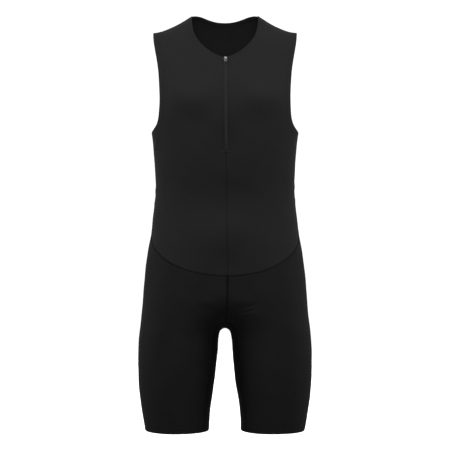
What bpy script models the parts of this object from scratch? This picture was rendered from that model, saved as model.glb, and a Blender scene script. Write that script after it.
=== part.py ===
"""A sleeveless sports jumpsuit with short legs and a front zip, in the hollow shape it has when worn.

Run with: blender --background --python part.py
Metres, +Z up. The front faces -Y and the wearer's left is +X. The origin lies between the two
shoulder seams, where the wearer's shoulders carry the garment. Heights are given as drops below
a level close to where the shoulder seam meets the neckline. Every panel is a cloth wall whose outer
face lies on one form, which the tables below describe, so that neighbouring panels meet smoothly.
"""

import math
from collections import namedtuple

import bmesh
import bpy
import numpy as np
from mathutils import Matrix, Vector

# Driving sizes
NECK_POINT_HEIGHT = 0.020  # above the origin, of the level that every drop is measured from
CLOTH = 0.0015
SEAM_GAP = 0.0003
ARMPIT_DROP = 0.2583
HEM_DROP = 0.9045
WAIST_FRONT_DROP = 0.565  # the waist seam at the middle of the front
WAIST_SIDE_DROP = 0.467
WAIST_BACK_DROP = 0.430
WAIST_BACK_TURN = 0.40  # radians past the side over which the waist seam levels out
NECK_HALF_WIDTH = 0.0720
SHOULDER_TIP_ACROSS = 0.1570
SHOULDER_TIP_DROP = 0.0387
SHOULDER_POWER = 2.2  # of the rounding from the armpit up to the shoulder
CROTCH_ROUNDING = 0.012  # of the arch between the legs
GUSSET_TOP_DROP = 0.6690  # where the gusset's edges cross the middle, front and back
ARCH_EYE_BELOW = 0.030  # the gusset is seen from this far below its top, between the legs

# Grid of each panel
HALF_COLUMNS = 12  # from the middle of the front or back to the side
NECK_COLUMNS = 6  # of those, how many end on the neckline
TRUNK_ROWS = 10  # from the waist seam to the armpit
ARMHOLE_ROWS = 12
HIP_ROWS = 9  # from the waist seam to the top of the gusset
ARCH_STEPS = (0.001, 0.003, 0.0065, 0.012, 0.020, 0.032)  # rows just below the gusset's top
THIGH_ROWS = 9
GUSSET_COLUMNS = 6

# Zip
ZIP_TOP_DROP = 0.0995
ZIP_BOTTOM_DROP = 0.3055
ZIP_SLOT = 0.0055  # between the panels' turned edges
ZIP_SLOT_TAPER = 0.005
CHAIN_WIDTH = 0.0048
TAPE_INNER = 0.0020
TAPE_OUTER = 0.0130
TAPE_THICKNESS = 0.0008
TAPE_SUNK = CLOTH + 0.0006  # of its outer face, below the form
TAPE_PAST_END = 0.012
ZIP_STEP = 0.003  # the least between two rows of the chain and tapes

Outline = namedtuple("Outline", "drop across")
Depth = namedtuple("Depth", "drop front back middle")
Fork = namedtuple("Fork", "drop centre split")
Squareness = namedtuple("Squareness", "drop power")
Ridge = namedtuple("Ridge", "across drop")
Edge = namedtuple("Edge", "across drop")
Drift = namedtuple("Drift", "drop across")

# Half the width of the whole form. Above the armpit it is where chest and arm would meet.
OUTLINE = (
    Outline(-0.0300, 0.1780),
    Outline(0.0400, 0.1760),
    Outline(0.1000, 0.1720),
    Outline(0.1500, 0.1680),
    Outline(0.1950, 0.1655),
    Outline(0.2300, 0.1625),
    Outline(0.2583, 0.1600),
    Outline(0.2823, 0.1569),
    Outline(0.3172, 0.1539),
    Outline(0.3695, 0.1512),
    Outline(0.4044, 0.1528),
    Outline(0.4393, 0.1568),
    Outline(0.4742, 0.1603),
    Outline(0.5090, 0.1671),
    Outline(0.5614, 0.1742),
    Outline(0.6137, 0.1787),
    Outline(0.6660, 0.1834),
    Outline(0.7096, 0.1879),
    Outline(0.7554, 0.1896),
    Outline(0.8077, 0.1875),
    Outline(0.8426, 0.1838),
    Outline(0.8774, 0.1786),
    Outline(0.9045, 0.1737),
)

# How far the form reaches ahead of and behind the origin's plane, and where its sides lie.
DEPTH = (
    Depth(-0.030, 0.052, 0.098, 0.010),
    Depth(0.045, 0.070, 0.104, 0.010),
    Depth(0.100, 0.084, 0.110, 0.008),
    Depth(0.150, 0.102, 0.115, 0.004),
    Depth(0.195, 0.113, 0.115, 0.002),
    Depth(0.258, 0.115, 0.110, 0.000),
    Depth(0.317, 0.108, 0.098, 0.000),
    Depth(0.370, 0.101, 0.089, 0.000),
    Depth(0.420, 0.101, 0.091, 0.000),
    Depth(0.474, 0.104, 0.102, 0.000),
    Depth(0.530, 0.104, 0.115, 0.002),
    Depth(0.590, 0.101, 0.122, 0.004),
    Depth(0.640, 0.098, 0.119, 0.004),
    Depth(0.682, 0.095, 0.110, 0.002),
    Depth(0.720, 0.093, 0.101, 0.000),
    Depth(0.780, 0.090, 0.092, 0.000),
    Depth(0.845, 0.083, 0.083, 0.000),
    Depth(0.9045, 0.074, 0.074, 0.000),
)

# Centre of each leg's ring, and how far the two rings have come apart. Above the first row the two
# rings are one.
FORK = (
    Fork(0.4400, 0.0000, 0.000),
    Fork(0.5000, 0.0085, 0.000),
    Fork(0.5500, 0.0345, 0.050),
    Fork(0.5723, 0.0490, 0.160),
    Fork(0.5923, 0.0625, 0.295),
    Fork(0.6123, 0.0742, 0.450),
    Fork(0.6303, 0.0830, 0.600),
    Fork(0.6453, 0.0889, 0.725),
    Fork(0.6600, 0.0944, 0.832),
    Fork(0.6700, 0.0978, 0.890),
    Fork(0.6800, 0.1006, 0.929),
    Fork(0.6868, 0.1024, 0.953),
    Fork(0.6916, 0.1030, 0.966),
    Fork(0.7000, 0.1036, 0.976),
    Fork(0.7096, 0.1041, 0.985),
    Fork(0.7238, 0.1045, 0.993),
    Fork(0.7379, 0.1049, 0.998),
    Fork(0.7728, 0.1062, 1.000),
    Fork(0.8077, 0.1072, 1.000),
    Fork(0.8426, 0.1079, 1.000),
    Fork(0.8774, 0.1072, 1.000),
    Fork(0.9045, 0.1051, 1.000),
)

# Power of the rounded-square rings: 2 is an ellipse.
SQUARENESS = (
    Squareness(-0.030, 2.50),
    Squareness(0.260, 2.45),
    Squareness(0.420, 2.30),
    Squareness(0.580, 2.25),
    Squareness(0.700, 2.10),
    Squareness(0.9045, 2.05),
)

# Top line of the shoulders, and the neck that it would run up to.
RIDGE = (
    Ridge(0.0000, -0.0270),
    Ridge(0.0350, -0.0190),
    Ridge(0.0720, 0.0014),
    Ridge(0.0975, 0.0176),
    Ridge(0.1188, 0.0280),
    Ridge(0.1406, 0.0362),
    Ridge(0.1570, 0.0387),
)

NECKLINE_FRONT = (
    Edge(0.0000, 0.0998),
    Edge(0.0053, 0.0989),
    Edge(0.0117, 0.0965),
    Edge(0.0203, 0.0928),
    Edge(0.0294, 0.0874),
    Edge(0.0386, 0.0806),
    Edge(0.0526, 0.0667),
    Edge(0.0625, 0.0528),
    Edge(0.0685, 0.0387),
    Edge(0.0714, 0.0230),
    Edge(0.0726, 0.0095),
    Edge(0.0720, 0.0014),
)

NECKLINE_BACK = (
    Edge(0.0000, 0.0089),
    Edge(0.0159, 0.0080),
    Edge(0.0262, 0.0062),
    Edge(0.0400, 0.0024),
    Edge(0.0513, -0.0009),
    Edge(0.0600, -0.0018),
    Edge(0.0670, -0.0008),
    Edge(0.0720, 0.0014),
)

ARMHOLE = (
    Edge(0.1570, 0.0387),
    Edge(0.1555, 0.0583),
    Edge(0.1523, 0.0778),
    Edge(0.1487, 0.0964),
    Edge(0.1434, 0.1321),
    Edge(0.1411, 0.1666),
    Edge(0.1404, 0.2005),
    Edge(0.1413, 0.2172),
    Edge(0.1438, 0.2336),
    Edge(0.1514, 0.2494),
    Edge(0.1600, 0.2583),
)

# The zip and the seam below it wander to the wearer's left, and are back in the middle at the
# gusset.
FRONT_DRIFT = (
    Drift(0.100, 0.0011),
    Drift(0.296, 0.0026),
    Drift(0.400, 0.0034),
    Drift(0.530, 0.0054),
    Drift(0.600, 0.0054),
    Drift(0.645, 0.0036),
    Drift(0.669, 0.0000),
)

# Where the gusset's edges lie on each leg, front and back.
GUSSET_EDGE = (
    Edge(0.0000, 0.6690),
    Edge(0.0040, 0.6700),
    Edge(0.0080, 0.6720),
    Edge(0.0125, 0.6755),
    Edge(0.0173, 0.6810),
    Edge(0.0222, 0.6890),
    Edge(0.0262, 0.7010),
    Edge(0.0345, 0.7730),
    Edge(0.0420, 0.8400),
    Edge(0.0475, 0.9045),
)

COLOURS = {
    "body_jersey": ((0.022, 0.022, 0.022), 0.75, 0.0),
    "short_jersey": ((0.012, 0.012, 0.012), 0.65, 0.0),
    "zip_tape": ((0.026, 0.022, 0.026), 0.70, 0.0),
    "zip_coil": ((0.035, 0.028, 0.034), 0.45, 0.0),
    "slider_metal": ((0.75, 0.76, 0.77), 0.25, 1.0),
    "pull_metal": ((0.14, 0.17, 0.18), 0.35, 1.0),
}


def steady_through(knots, values):
    """A function through the knots that never overshoots them, and is level outside them."""
    knots = np.array(knots, float)
    values = np.array(values, float)
    slopes = np.diff(values) / np.diff(knots)
    before, after = slopes[:-1], slopes[1:]
    same_way = before * after > 0
    total = np.where(same_way, before + after, 1.0)
    inside = np.where(same_way, 2.0 * before * after / total, 0.0)
    tangents = np.concatenate([slopes[:1], inside, slopes[-1:]])
    return piecewise_cubic(knots, values, tangents, knots[0], knots[-1])


def smooth_through(knots, values, level_start=False):
    """A function through the knots whose bend changes smoothly too."""
    knots = np.array(knots, float)
    values = np.array(values, float)
    steps = np.diff(knots)
    slopes = np.diff(values) / steps
    count = len(knots)
    system = np.zeros((count, count))
    wanted = np.zeros(count)
    system[0, 0], system[0, 1], wanted[0] = 2.0, 1.0, 3.0 * slopes[0]
    if level_start:
        system[0, 1], wanted[0] = 0.0, 0.0
    system[-1, -1], system[-1, -2], wanted[-1] = 2.0, 1.0, 3.0 * slopes[-1]
    for i in range(1, count - 1):
        system[i, i - 1] = steps[i]
        system[i, i] = 2.0 * (steps[i - 1] + steps[i])
        system[i, i + 1] = steps[i - 1]
        wanted[i] = 3.0 * (steps[i] * slopes[i - 1] + steps[i - 1] * slopes[i])
    lowest = knots[0] if level_start else -np.inf
    return piecewise_cubic(knots, values, np.linalg.solve(system, wanted), lowest, np.inf)


def piecewise_cubic(knots, values, tangents, lowest, highest):
    """The cubic curve with these tangents at the knots."""

    def at(where):
        where = np.clip(where, lowest, highest)
        index = np.clip(np.searchsorted(knots, where) - 1, 0, len(knots) - 2)
        step = knots[index + 1] - knots[index]
        share = (where - knots[index]) / step
        rest = 1.0 - share
        return (
            values[index] * (1.0 + 2.0 * share) * rest**2
            + values[index + 1] * (3.0 - 2.0 * share) * share**2
            + step * share * rest * (tangents[index] * rest - tangents[index + 1] * share)
        )

    return at


def column(table, along, of, through=smooth_through, **how):
    """The function of a table's column, by another of its columns."""
    knots = [getattr(row, along) for row in table]
    return through(knots, [getattr(row, of) for row in table], **how)


outline_across = column(OUTLINE, "drop", "across")
depth_front = column(DEPTH, "drop", "front")
depth_back = column(DEPTH, "drop", "back")
depth_middle = column(DEPTH, "drop", "middle")
fork_centre = column(FORK, "drop", "centre", level_start=True)
fork_split_raw = column(FORK, "drop", "split", level_start=True)
ring_power = column(SQUARENESS, "drop", "power")
ridge_drop = column(RIDGE, "across", "drop", level_start=True)
armhole_across = column(ARMHOLE, "drop", "across")
front_drift = column(FRONT_DRIFT, "drop", "across", steady_through)
gusset_across = column(GUSSET_EDGE, "drop", "across", steady_through)


def smooth_step(low, high, value):
    share = np.clip((value - low) / (high - low), 0.0, 1.0)
    return share * share * (3.0 - 2.0 * share)


def fork_split(drop):
    return np.clip(fork_split_raw(drop), 0.0, 1.0)


def leg_ring(drop):
    """Centre and half width of one leg's ring. Where the rings are one, its centre is 0."""
    centre = fork_centre(drop)
    return centre, outline_across(drop) - centre


def ring_room(across, drop):
    """What the ring at this drop leaves for the depth, from 1 in the middle to 0 at its side."""
    centre, half = leg_ring(drop)
    out = np.abs(across)
    rounded = np.sqrt(across**2 + CROTCH_ROUNDING**2)
    toward_middle = fork_split(drop) * np.maximum(centre - rounded, 0.0)
    away = np.where(out >= centre, out - centre, toward_middle)
    return 1.0 - (away / half) ** ring_power(drop)


def shoulder_room(across, drop):
    """What the rounding over the shoulder leaves for the depth: 1 at the armpit, 0 on the ridge."""
    rise = (ARMPIT_DROP - drop) / (ARMPIT_DROP - ridge_drop(np.abs(across)))
    return 1.0 - np.maximum(rise, 0.0) ** SHOULDER_POWER


def half_depth(drop, face):
    """Depth from the sides' line to the front (face -1) or the back (face 1)."""
    middle = depth_middle(drop)
    return np.where(np.asarray(face) < 0, depth_front(drop) + middle, depth_back(drop) - middle)


def form_value(across, y, drop):
    """Below 0 inside the form and above 0 outside it."""
    offset = y - depth_middle(drop)
    depth = half_depth(drop, np.sign(offset))
    room = ring_room(across, drop) * shoulder_room(across, drop)
    return (np.abs(offset) / depth) ** ring_power(drop) - room


def form_y(across, drop, face):
    """Y of the form's front or back at this place in the front view."""
    room = np.maximum(ring_room(across, drop) * shoulder_room(across, drop), 0.0)
    reach = half_depth(drop, face) * room ** (1.0 / ring_power(drop))
    return depth_middle(drop) + face * np.maximum(reach, SEAM_GAP / 2.0)


def form_normal(across, y, drop):
    """Unit vectors that point out of the form, in X, Y, Z."""
    step = 0.0002
    slope = np.stack(
        [
            form_value(across + step, y, drop) - form_value(across - step, y, drop),
            form_value(across, y + step, drop) - form_value(across, y - step, drop),
            form_value(across, y, drop - step) - form_value(across, y, drop + step),
        ],
        axis=-1,
    )
    return slope / np.linalg.norm(slope, axis=-1, keepdims=True)


def waist_drop(share, face):
    """The waist seam, from the middle (share 0) to the side (share 1)."""
    if face < 0:
        turn = np.asarray(share) * math.pi / 2.0
        fall = WAIST_FRONT_DROP - WAIST_SIDE_DROP
        return WAIST_FRONT_DROP - fall * (1.0 - np.cos(turn))
    past_side = (1.0 - np.asarray(share)) * math.pi / 2.0
    levelled = 1.0 - np.exp(-past_side / WAIST_BACK_TURN)
    whole = 1.0 - math.exp(-math.pi / 2.0 / WAIST_BACK_TURN)
    return WAIST_SIDE_DROP - (WAIST_SIDE_DROP - WAIST_BACK_DROP) * levelled / whole


def neckline(share, face):
    """Across and drop of the neckline, from the middle (share 0) to the shoulder seam (share 1)."""
    points = np.array(NECKLINE_FRONT if face < 0 else NECKLINE_BACK)
    lengths = np.linalg.norm(np.diff(points, axis=0), axis=1)
    along = np.concatenate([[0.0], np.cumsum(lengths)]) / lengths.sum()
    return smooth_through(along, points[:, 0])(share), smooth_through(along, points[:, 1])(share)


def top_edge(face):
    """Across and drop of a trunk panel's top: the neckline, then the shoulder seam."""
    neck_across, neck_drop = neckline(np.linspace(0.0, 1.0, NECK_COLUMNS + 1), face)
    seam_across = np.linspace(
        NECK_HALF_WIDTH, SHOULDER_TIP_ACROSS, HALF_COLUMNS - NECK_COLUMNS + 1
    )
    across = np.concatenate([neck_across, seam_across[1:]])
    return across, np.concatenate([neck_drop, ridge_drop(seam_across[1:])])


def edge_across(drop):
    """The side seam below the armpit, and the armhole's edge above it."""
    return np.where(drop >= ARMPIT_DROP, outline_across(drop), armhole_across(drop))


def trunk_rises():
    """Heights of a trunk panel's rows, as shares of its side, closer at both ends of the armhole."""
    whole = WAIST_SIDE_DROP - SHOULDER_TIP_DROP
    armpit = (WAIST_SIDE_DROP - ARMPIT_DROP) / whole
    turns = np.linspace(0.0, math.pi, ARMHOLE_ROWS + 1)[1:]
    armhole = armpit + (1.0 - armpit) * (1.0 - np.cos(turns)) / 2.0
    return np.concatenate([np.linspace(0.0, armpit, TRUNK_ROWS + 1), armhole])


def with_zip_end(rises):
    """The rows of a front panel, with two that give the lower end of the zip's slot its shape."""
    whole = WAIST_FRONT_DROP - NECKLINE_FRONT[0].drop
    end = (WAIST_FRONT_DROP - ZIP_BOTTOM_DROP) / whole
    taper = ZIP_SLOT_TAPER / whole
    kept = [rise for rise in rises if abs(rise - end) > 3.0 * taper]
    return np.array(sorted([*kept, end, end + taper]))


def slot_half(drop):
    """Half the opening between the front panels: the zip's slot, then a closed seam."""
    open_share = 1.0 - smooth_step(ZIP_BOTTOM_DROP - ZIP_SLOT_TAPER, ZIP_BOTTOM_DROP, drop)
    return SEAM_GAP / 2.0 + (ZIP_SLOT - SEAM_GAP) / 2.0 * open_share


def front_start(side, face, drop):
    """Across of a trunk panel's edge along the middle: beside the zip and its seam on the front."""
    if face > 0:
        return np.zeros_like(drop)
    return front_drift(drop) + side * slot_half(drop)


def trunk_half(side, face, rises):
    """Points of half a trunk panel, by row from the waist seam up and by column from the middle."""
    columns = np.linspace(0.0, 1.0, HALF_COLUMNS + 1)
    low_share = np.sin(columns * math.pi / 2.0)
    low_drop = waist_drop(columns, face) - SEAM_GAP / 2.0
    top_across, top_drop = top_edge(face)
    top_start = front_start(side, face, top_drop)
    top_span = side * edge_across(top_drop) - top_start
    top_share = np.maximum((side * top_across - top_start) / top_span, 0.0)
    rows = []
    for rise in rises:
        drop = low_drop + (top_drop - low_drop) * rise
        blend = smooth_step(0.40, 1.0, rise)
        share = low_share + (top_share - low_share) * blend
        start = front_start(side, face, drop)
        across = start + (side * edge_across(drop) - start) * share
        y = form_y(across, drop, face)
        if rise < (WAIST_SIDE_DROP - ARMPIT_DROP) / (WAIST_SIDE_DROP - SHOULDER_TIP_DROP) + 1e-6:
            y[-1] = depth_middle(drop[-1]) + face * SEAM_GAP / 2.0
        rows.append(np.stack([across, y, drop], axis=-1))
    return np.array(rows)


def fork_drops():
    """Drops of the rows from the gusset's top to the hem."""
    arch = [GUSSET_TOP_DROP + step for step in (0.0, *ARCH_STEPS)]
    return np.concatenate([arch, np.linspace(arch[-1], HEM_DROP, THIGH_ROWS + 1)[1:]])


def leg_half_row(side, face, drop, drop_share):
    """One face of one row of a leg panel, from the middle or the gusset's edge to the side."""
    columns = np.linspace(0.0, 1.0, HALF_COLUMNS + 1)
    start_turn = math.radians(34.0)  # where the gusset's edge lies round a leg
    turns = start_turn + (math.pi - start_turn) * columns
    on_leg = (math.cos(start_turn) - np.cos(turns)) / (1.0 + math.cos(start_turn))
    share = np.sin(columns * math.pi / 2.0) * (1.0 - drop_share) + on_leg * drop_share
    least = side * SEAM_GAP / 2.0
    if drop_share == 0.0:
        start = least + (front_drift(drop) if face < 0 else 0.0)
    else:
        start = side * max(float(gusset_across(drop[0])), SEAM_GAP / 2.0)
    across = start + (side * outline_across(drop) - start) * share
    return np.stack([across, form_y(across, drop, face), drop], axis=-1)


def leg_grid(side):
    """Points of a leg panel, by row from the waist seam down and by column from front to back."""
    columns = np.linspace(0.0, 1.0, HALF_COLUMNS + 1)
    rows = []
    for sink in np.linspace(0.0, 1.0, HIP_ROWS + 1)[:-1]:
        halves = []
        for face in (-1, 1):
            seam = waist_drop(columns, face) + SEAM_GAP / 2.0
            halves.append(leg_half_row(side, face, seam + (GUSSET_TOP_DROP - seam) * sink, 0.0))
        rows.append(np.concatenate([halves[0], halves[1][-2::-1]]))
    for level in fork_drops():
        apart = max(float(smooth_step(GUSSET_TOP_DROP, GUSSET_TOP_DROP + 0.05, level)), 1e-6)
        drop = np.full(HALF_COLUMNS + 1, level)
        halves = [leg_half_row(side, face, drop, apart) for face in (-1, 1)]
        rows.append(np.concatenate([halves[0], halves[1][-2::-1]]))
    return np.array(rows)


def seen_from_arch(eye, direction):
    """How far from the eye, between the legs, the form lies in this direction."""
    near, far = 0.0, 0.0
    step = 0.001

    def outside(reach):
        across = eye[0] + direction[0] * reach
        return form_value(across, eye[1], eye[2] + direction[2] * reach) > 0.0

    while outside(far) and far < 0.12:
        near, far = far, far + step
    for _ in range(40):
        middle = (near + far) / 2.0
        if outside(middle):
            near = middle
        else:
            far = middle
    return far


def gusset_grid():
    """Points of the gusset, by row from hem to hem over the arch and by column from front to back."""
    levels = fork_drops()
    eye_drop = GUSSET_TOP_DROP + ARCH_EYE_BELOW
    stations = [(-1, level) for level in levels[::-1]] + [(1, level) for level in levels[1:]]
    rows = []
    for side, level in stations:
        across = side * float(gusset_across(level))
        front = float(form_y(across, level, -1)) + SEAM_GAP
        back = float(form_y(across, level, 1)) - SEAM_GAP
        eye_level = max(level, eye_drop)
        direction = np.array([across, 0.0, level - eye_level])
        direction /= np.linalg.norm(direction)
        row = []
        for y in np.linspace(front, back, GUSSET_COLUMNS + 1):
            eye = np.array([0.0, y, eye_level])
            row.append(eye + direction * seen_from_arch(eye, direction))
        rows.append(row)
    return np.array(rows)


def strip_grid(first_drop, last_drop, left, right):
    """Points of a strip down the zip, between two distances from its line, with the panels' rows."""
    top = NECKLINE_FRONT[0].drop
    panel_drops = WAIST_FRONT_DROP + (top - WAIST_FRONT_DROP) * with_zip_end(trunk_rises())
    between = [
        drop for drop in panel_drops if first_drop + ZIP_STEP < drop < last_drop - ZIP_STEP
    ]
    rows = []
    for drop in sorted([first_drop, *between, last_drop]):
        across = front_drift(drop) + np.array([left, right])
        levels = np.full(2, drop)
        rows.append(np.stack([across, form_y(across, levels, -1), levels], axis=-1))
    return np.array(rows)


def material(slot):
    """The Principled material of one slot, made once."""
    found = bpy.data.materials.get(slot)
    if found:
        return found
    colour, roughness, metallic = COLOURS[slot]
    made = bpy.data.materials.new(slot)
    made.use_nodes = True
    surface = made.node_tree.nodes["Principled BSDF"]
    surface.inputs["Base Color"].default_value = (*colour, 1.0)
    surface.inputs["Roughness"].default_value = roughness
    surface.inputs["Metallic"].default_value = metallic
    made.diffuse_color = (*colour, 1.0)
    return made


def place(name, mesh, slot, parent=None):
    """A named object in the jumpsuit's collection."""
    mesh.materials.append(material(slot))
    made = bpy.data.objects.new(name, mesh)
    jumpsuit.objects.link(made)
    made.parent = parent
    return made


def wall(name, grid, slot, sunk=0.0, thickness=CLOTH):
    """A closed wall whose outer face lies on the form, or is sunk below it, through a grid."""
    across, y, drop = grid[..., 0], grid[..., 1], grid[..., 2]
    face = np.stack([across, y, NECK_POINT_HEIGHT - drop], axis=-1)
    normal = form_normal(across, y, drop)
    layers = [face - normal * sunk, face - normal * (sunk + thickness)]
    rows, columns = grid.shape[:2]
    mesh = bpy.data.meshes.new(name)
    made = bmesh.new()
    points = [
        [[made.verts.new(layer[i, j]) for j in range(columns)] for i in range(rows)]
        for layer in layers
    ]
    for layer in points:
        for i in range(rows - 1):
            for j in range(columns - 1):
                made.faces.new(
                    (layer[i][j], layer[i][j + 1], layer[i + 1][j + 1], layer[i + 1][j])
                )
    corners = [(0, j) for j in range(columns - 1)]
    corners += [(i, columns - 1) for i in range(rows - 1)]
    corners += [(rows - 1, j) for j in range(columns - 1, 0, -1)]
    corners += [(i, 0) for i in range(rows - 1, 0, -1)]
    outer, inner = points
    for (i, j), (k, m) in zip(corners, corners[1:] + corners[:1]):
        made.faces.new((outer[i][j], outer[k][m], inner[k][m], inner[i][j]))
    bmesh.ops.recalc_face_normals(made, faces=made.faces)
    made.to_mesh(mesh)
    made.free()
    mesh.shade_smooth()
    mesh.set_sharp_from_angle(angle=math.radians(50.0))
    return place(name, mesh, slot)


# Slider and pull tab, in the slider's own frame: X across, Y up the zip, Z out of the cloth, with
# the pull's hinge at the height HINGE_HEIGHT over the cloth.
SLIDER_LENGTH = 0.0100
SLIDER_WIDTH = 0.0060
SLIDER_PLATE = 0.0011
SLIDER_CLEARANCE = 0.00035
SLIDER_NECK = (0.0028, 0.0026)  # width and length
HINGE_FROM_TOP = 0.0045
CROWN_WIDTH = 0.0014
CROWN_LENGTH = 0.0066
CROWN_BAR = 0.0008
CROWN_ROOM = 0.00175  # under its bar
HINGE_HEIGHT = SLIDER_CLEARANCE + SLIDER_PLATE + 0.0008
EYE_WIRE = 0.0009
EYE_HALF_WIDTH = 0.00160
EYE_LENGTH = 0.0040  # from the hinge to the solid part of the tab
PULL_LENGTH = 0.0085  # from the hinge to its end
PULL_WIDTH = 0.0050
PULL_THICKNESS = 0.0010
OVERLAP = 0.0001  # of shapes that are joined
CORNER_ROUNDING = 0.0012


def block(name, size, centre):
    """A box of this size about this centre."""
    bpy.ops.mesh.primitive_cube_add(size=1.0, location=centre)
    made = bpy.context.object
    made.name = name
    made.scale = size
    bpy.ops.object.transform_apply(location=True, rotation=False, scale=True)
    return made


def rounded_plate(name, size, centre, corner):
    """A box whose four upright edges are rounded off, as a stamped plate's outline is."""
    made = block(name, size, centre)
    shape = bmesh.new()
    shape.from_mesh(made.data)
    upright = [
        edge
        for edge in shape.edges
        if abs(edge.verts[0].co.z - edge.verts[1].co.z) > 0.5 * size[2]
    ]
    bmesh.ops.bevel(shape, geom=upright, offset=corner, segments=4, affect="EDGES", profile=0.5)
    shape.to_mesh(made.data)
    shape.free()
    return made


def join(pieces):
    """One mesh, the Boolean union of these objects, which are used up."""
    first = pieces[0]
    for other in pieces[1:]:
        union = first.modifiers.new("union", "BOOLEAN")
        union.operation = "UNION"
        union.object = other
    bpy.context.view_layer.update()
    graph = bpy.context.evaluated_depsgraph_get()
    mesh = bpy.data.meshes.new_from_object(first.evaluated_get(graph))
    for piece in pieces:
        bpy.data.objects.remove(piece)
    return mesh


def slider_mesh():
    """Two plates, the neck between them, and the crown that carries the pull."""
    middle = HINGE_FROM_TOP - SLIDER_LENGTH / 2.0
    under = TAPE_SUNK + TAPE_THICKNESS + SEAM_GAP + SLIDER_PLATE / 2.0
    over = SLIDER_CLEARANCE + SLIDER_PLATE / 2.0
    plate = (SLIDER_WIDTH, SLIDER_LENGTH, SLIDER_PLATE)
    neck_width, neck_length = SLIDER_NECK
    crown_foot = SLIDER_CLEARANCE + SLIDER_PLATE - OVERLAP
    crown_top = SLIDER_CLEARANCE + SLIDER_PLATE + CROWN_ROOM + CROWN_BAR
    leg_at = (CROWN_LENGTH - CROWN_BAR) / 2.0
    leg = (CROWN_WIDTH, CROWN_BAR, crown_top - crown_foot)
    leg_height = (crown_top + crown_foot) / 2.0
    pieces = [
        rounded_plate("slider_over", plate, (0.0, middle, over), CORNER_ROUNDING),
        rounded_plate("slider_under", plate, (0.0, middle, -under), CORNER_ROUNDING),
        block(
            "slider_neck",
            (neck_width, neck_length, over + under),
            (0.0, HINGE_FROM_TOP - neck_length / 2.0 - OVERLAP, (over - under) / 2.0),
        ),
        block("crown_upper_leg", leg, (0.0, leg_at, leg_height)),
        block("crown_lower_leg", leg, (0.0, -leg_at, leg_height)),
        block(
            "crown_bar",
            (CROWN_WIDTH + OVERLAP, CROWN_LENGTH + OVERLAP, CROWN_BAR),
            (0.0, 0.0, crown_top - CROWN_BAR / 2.0 + OVERLAP),
        ),
    ]
    return join(pieces)


def pull_mesh():
    """The eye that hangs in the crown, and the tab below it, about the hinge."""
    cheek = (EYE_WIRE, EYE_LENGTH + OVERLAP, EYE_WIRE)
    tab_length = PULL_LENGTH - EYE_LENGTH
    bpy.ops.mesh.primitive_cylinder_add(
        vertices=16,
        radius=EYE_WIRE / 2.0,
        depth=2.0 * EYE_HALF_WIDTH + EYE_WIRE,
        rotation=(0.0, math.pi / 2.0, 0.0),
    )
    bpy.ops.object.transform_apply(location=True, rotation=True, scale=True)
    axle = bpy.context.object
    pieces = [
        axle,
        block("eye_left", cheek, (-EYE_HALF_WIDTH, -EYE_LENGTH / 2.0, 0.0)),
        block("eye_right", cheek, (EYE_HALF_WIDTH, -EYE_LENGTH / 2.0, 0.0)),
        rounded_plate(
            "tab",
            (PULL_WIDTH, tab_length, PULL_THICKNESS),
            (0.0, -EYE_LENGTH - tab_length / 2.0, 0.0),
            CORNER_ROUNDING,
        ),
    ]
    return join(pieces)


def zip_frame():
    """Matrix of the slider's frame, at the hinge's drop on the front."""
    drop = ZIP_TOP_DROP + HINGE_FROM_TOP
    across = float(front_drift(drop))
    y = float(form_y(across, drop, -1))
    normal = form_normal(np.array(across), np.array(y), np.array(drop))
    out = Vector((0.0, normal[1], normal[2])).normalized()
    right = Vector((1.0, 0.0, 0.0))
    up = out.cross(right)
    turned = Matrix((right, up, out)).transposed().to_4x4()
    return Matrix.Translation((across, y, NECK_POINT_HEIGHT - drop)) @ turned


def build_cloth():
    """Every cut and sewn panel."""
    front_rises = with_zip_end(trunk_rises())
    wall("front_right", trunk_half(-1, -1, front_rises), "body_jersey")
    wall("front_left", trunk_half(1, -1, front_rises), "body_jersey")
    right = trunk_half(-1, 1, trunk_rises())
    left = trunk_half(1, 1, trunk_rises())
    wall("back", np.concatenate([right[:, :0:-1], left], axis=1), "body_jersey")
    wall("leg_right", leg_grid(-1), "short_jersey")
    wall("leg_left", leg_grid(1), "short_jersey")
    wall("gusset", gusset_grid(), "short_jersey")


def build_zip():
    """Tapes, coil chain, slider and pull tab."""
    tape_top = ZIP_TOP_DROP + 0.004
    tape_end = ZIP_BOTTOM_DROP + TAPE_PAST_END
    for name, inner, outer in (
        ("zip_tape_right", -TAPE_OUTER, -TAPE_INNER),
        ("zip_tape_left", TAPE_INNER, TAPE_OUTER),
    ):
        grid = strip_grid(tape_top, tape_end, inner, outer)
        wall(name, grid, "zip_tape", TAPE_SUNK, TAPE_THICKNESS)
    chain_top = ZIP_TOP_DROP + SLIDER_NECK[1] + 2.0 * SEAM_GAP + 2.0 * OVERLAP
    chain_end = ZIP_BOTTOM_DROP - ZIP_SLOT_TAPER - SEAM_GAP
    half = CHAIN_WIDTH / 2.0
    wall("zip_chain", strip_grid(chain_top, chain_end, -half, half), "zip_coil")
    frame = bpy.data.objects.new("slider_frame", None)
    jumpsuit.objects.link(frame)
    frame.matrix_world = zip_frame()
    hinge = bpy.data.objects.new("pull_hinge", None)
    jumpsuit.objects.link(hinge)
    hinge.parent = frame
    hinge.location = (0.0, 0.0, HINGE_HEIGHT)
    place("zip_slider", slider_mesh(), "slider_metal", frame)
    place("zip_pull", pull_mesh(), "pull_metal", hinge)


for thing in list(bpy.data.objects):
    bpy.data.objects.remove(thing)
jumpsuit = bpy.data.collections.new("sports_jumpsuit")
bpy.context.scene.collection.children.link(jumpsuit)
build_cloth()
build_zip()
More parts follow.
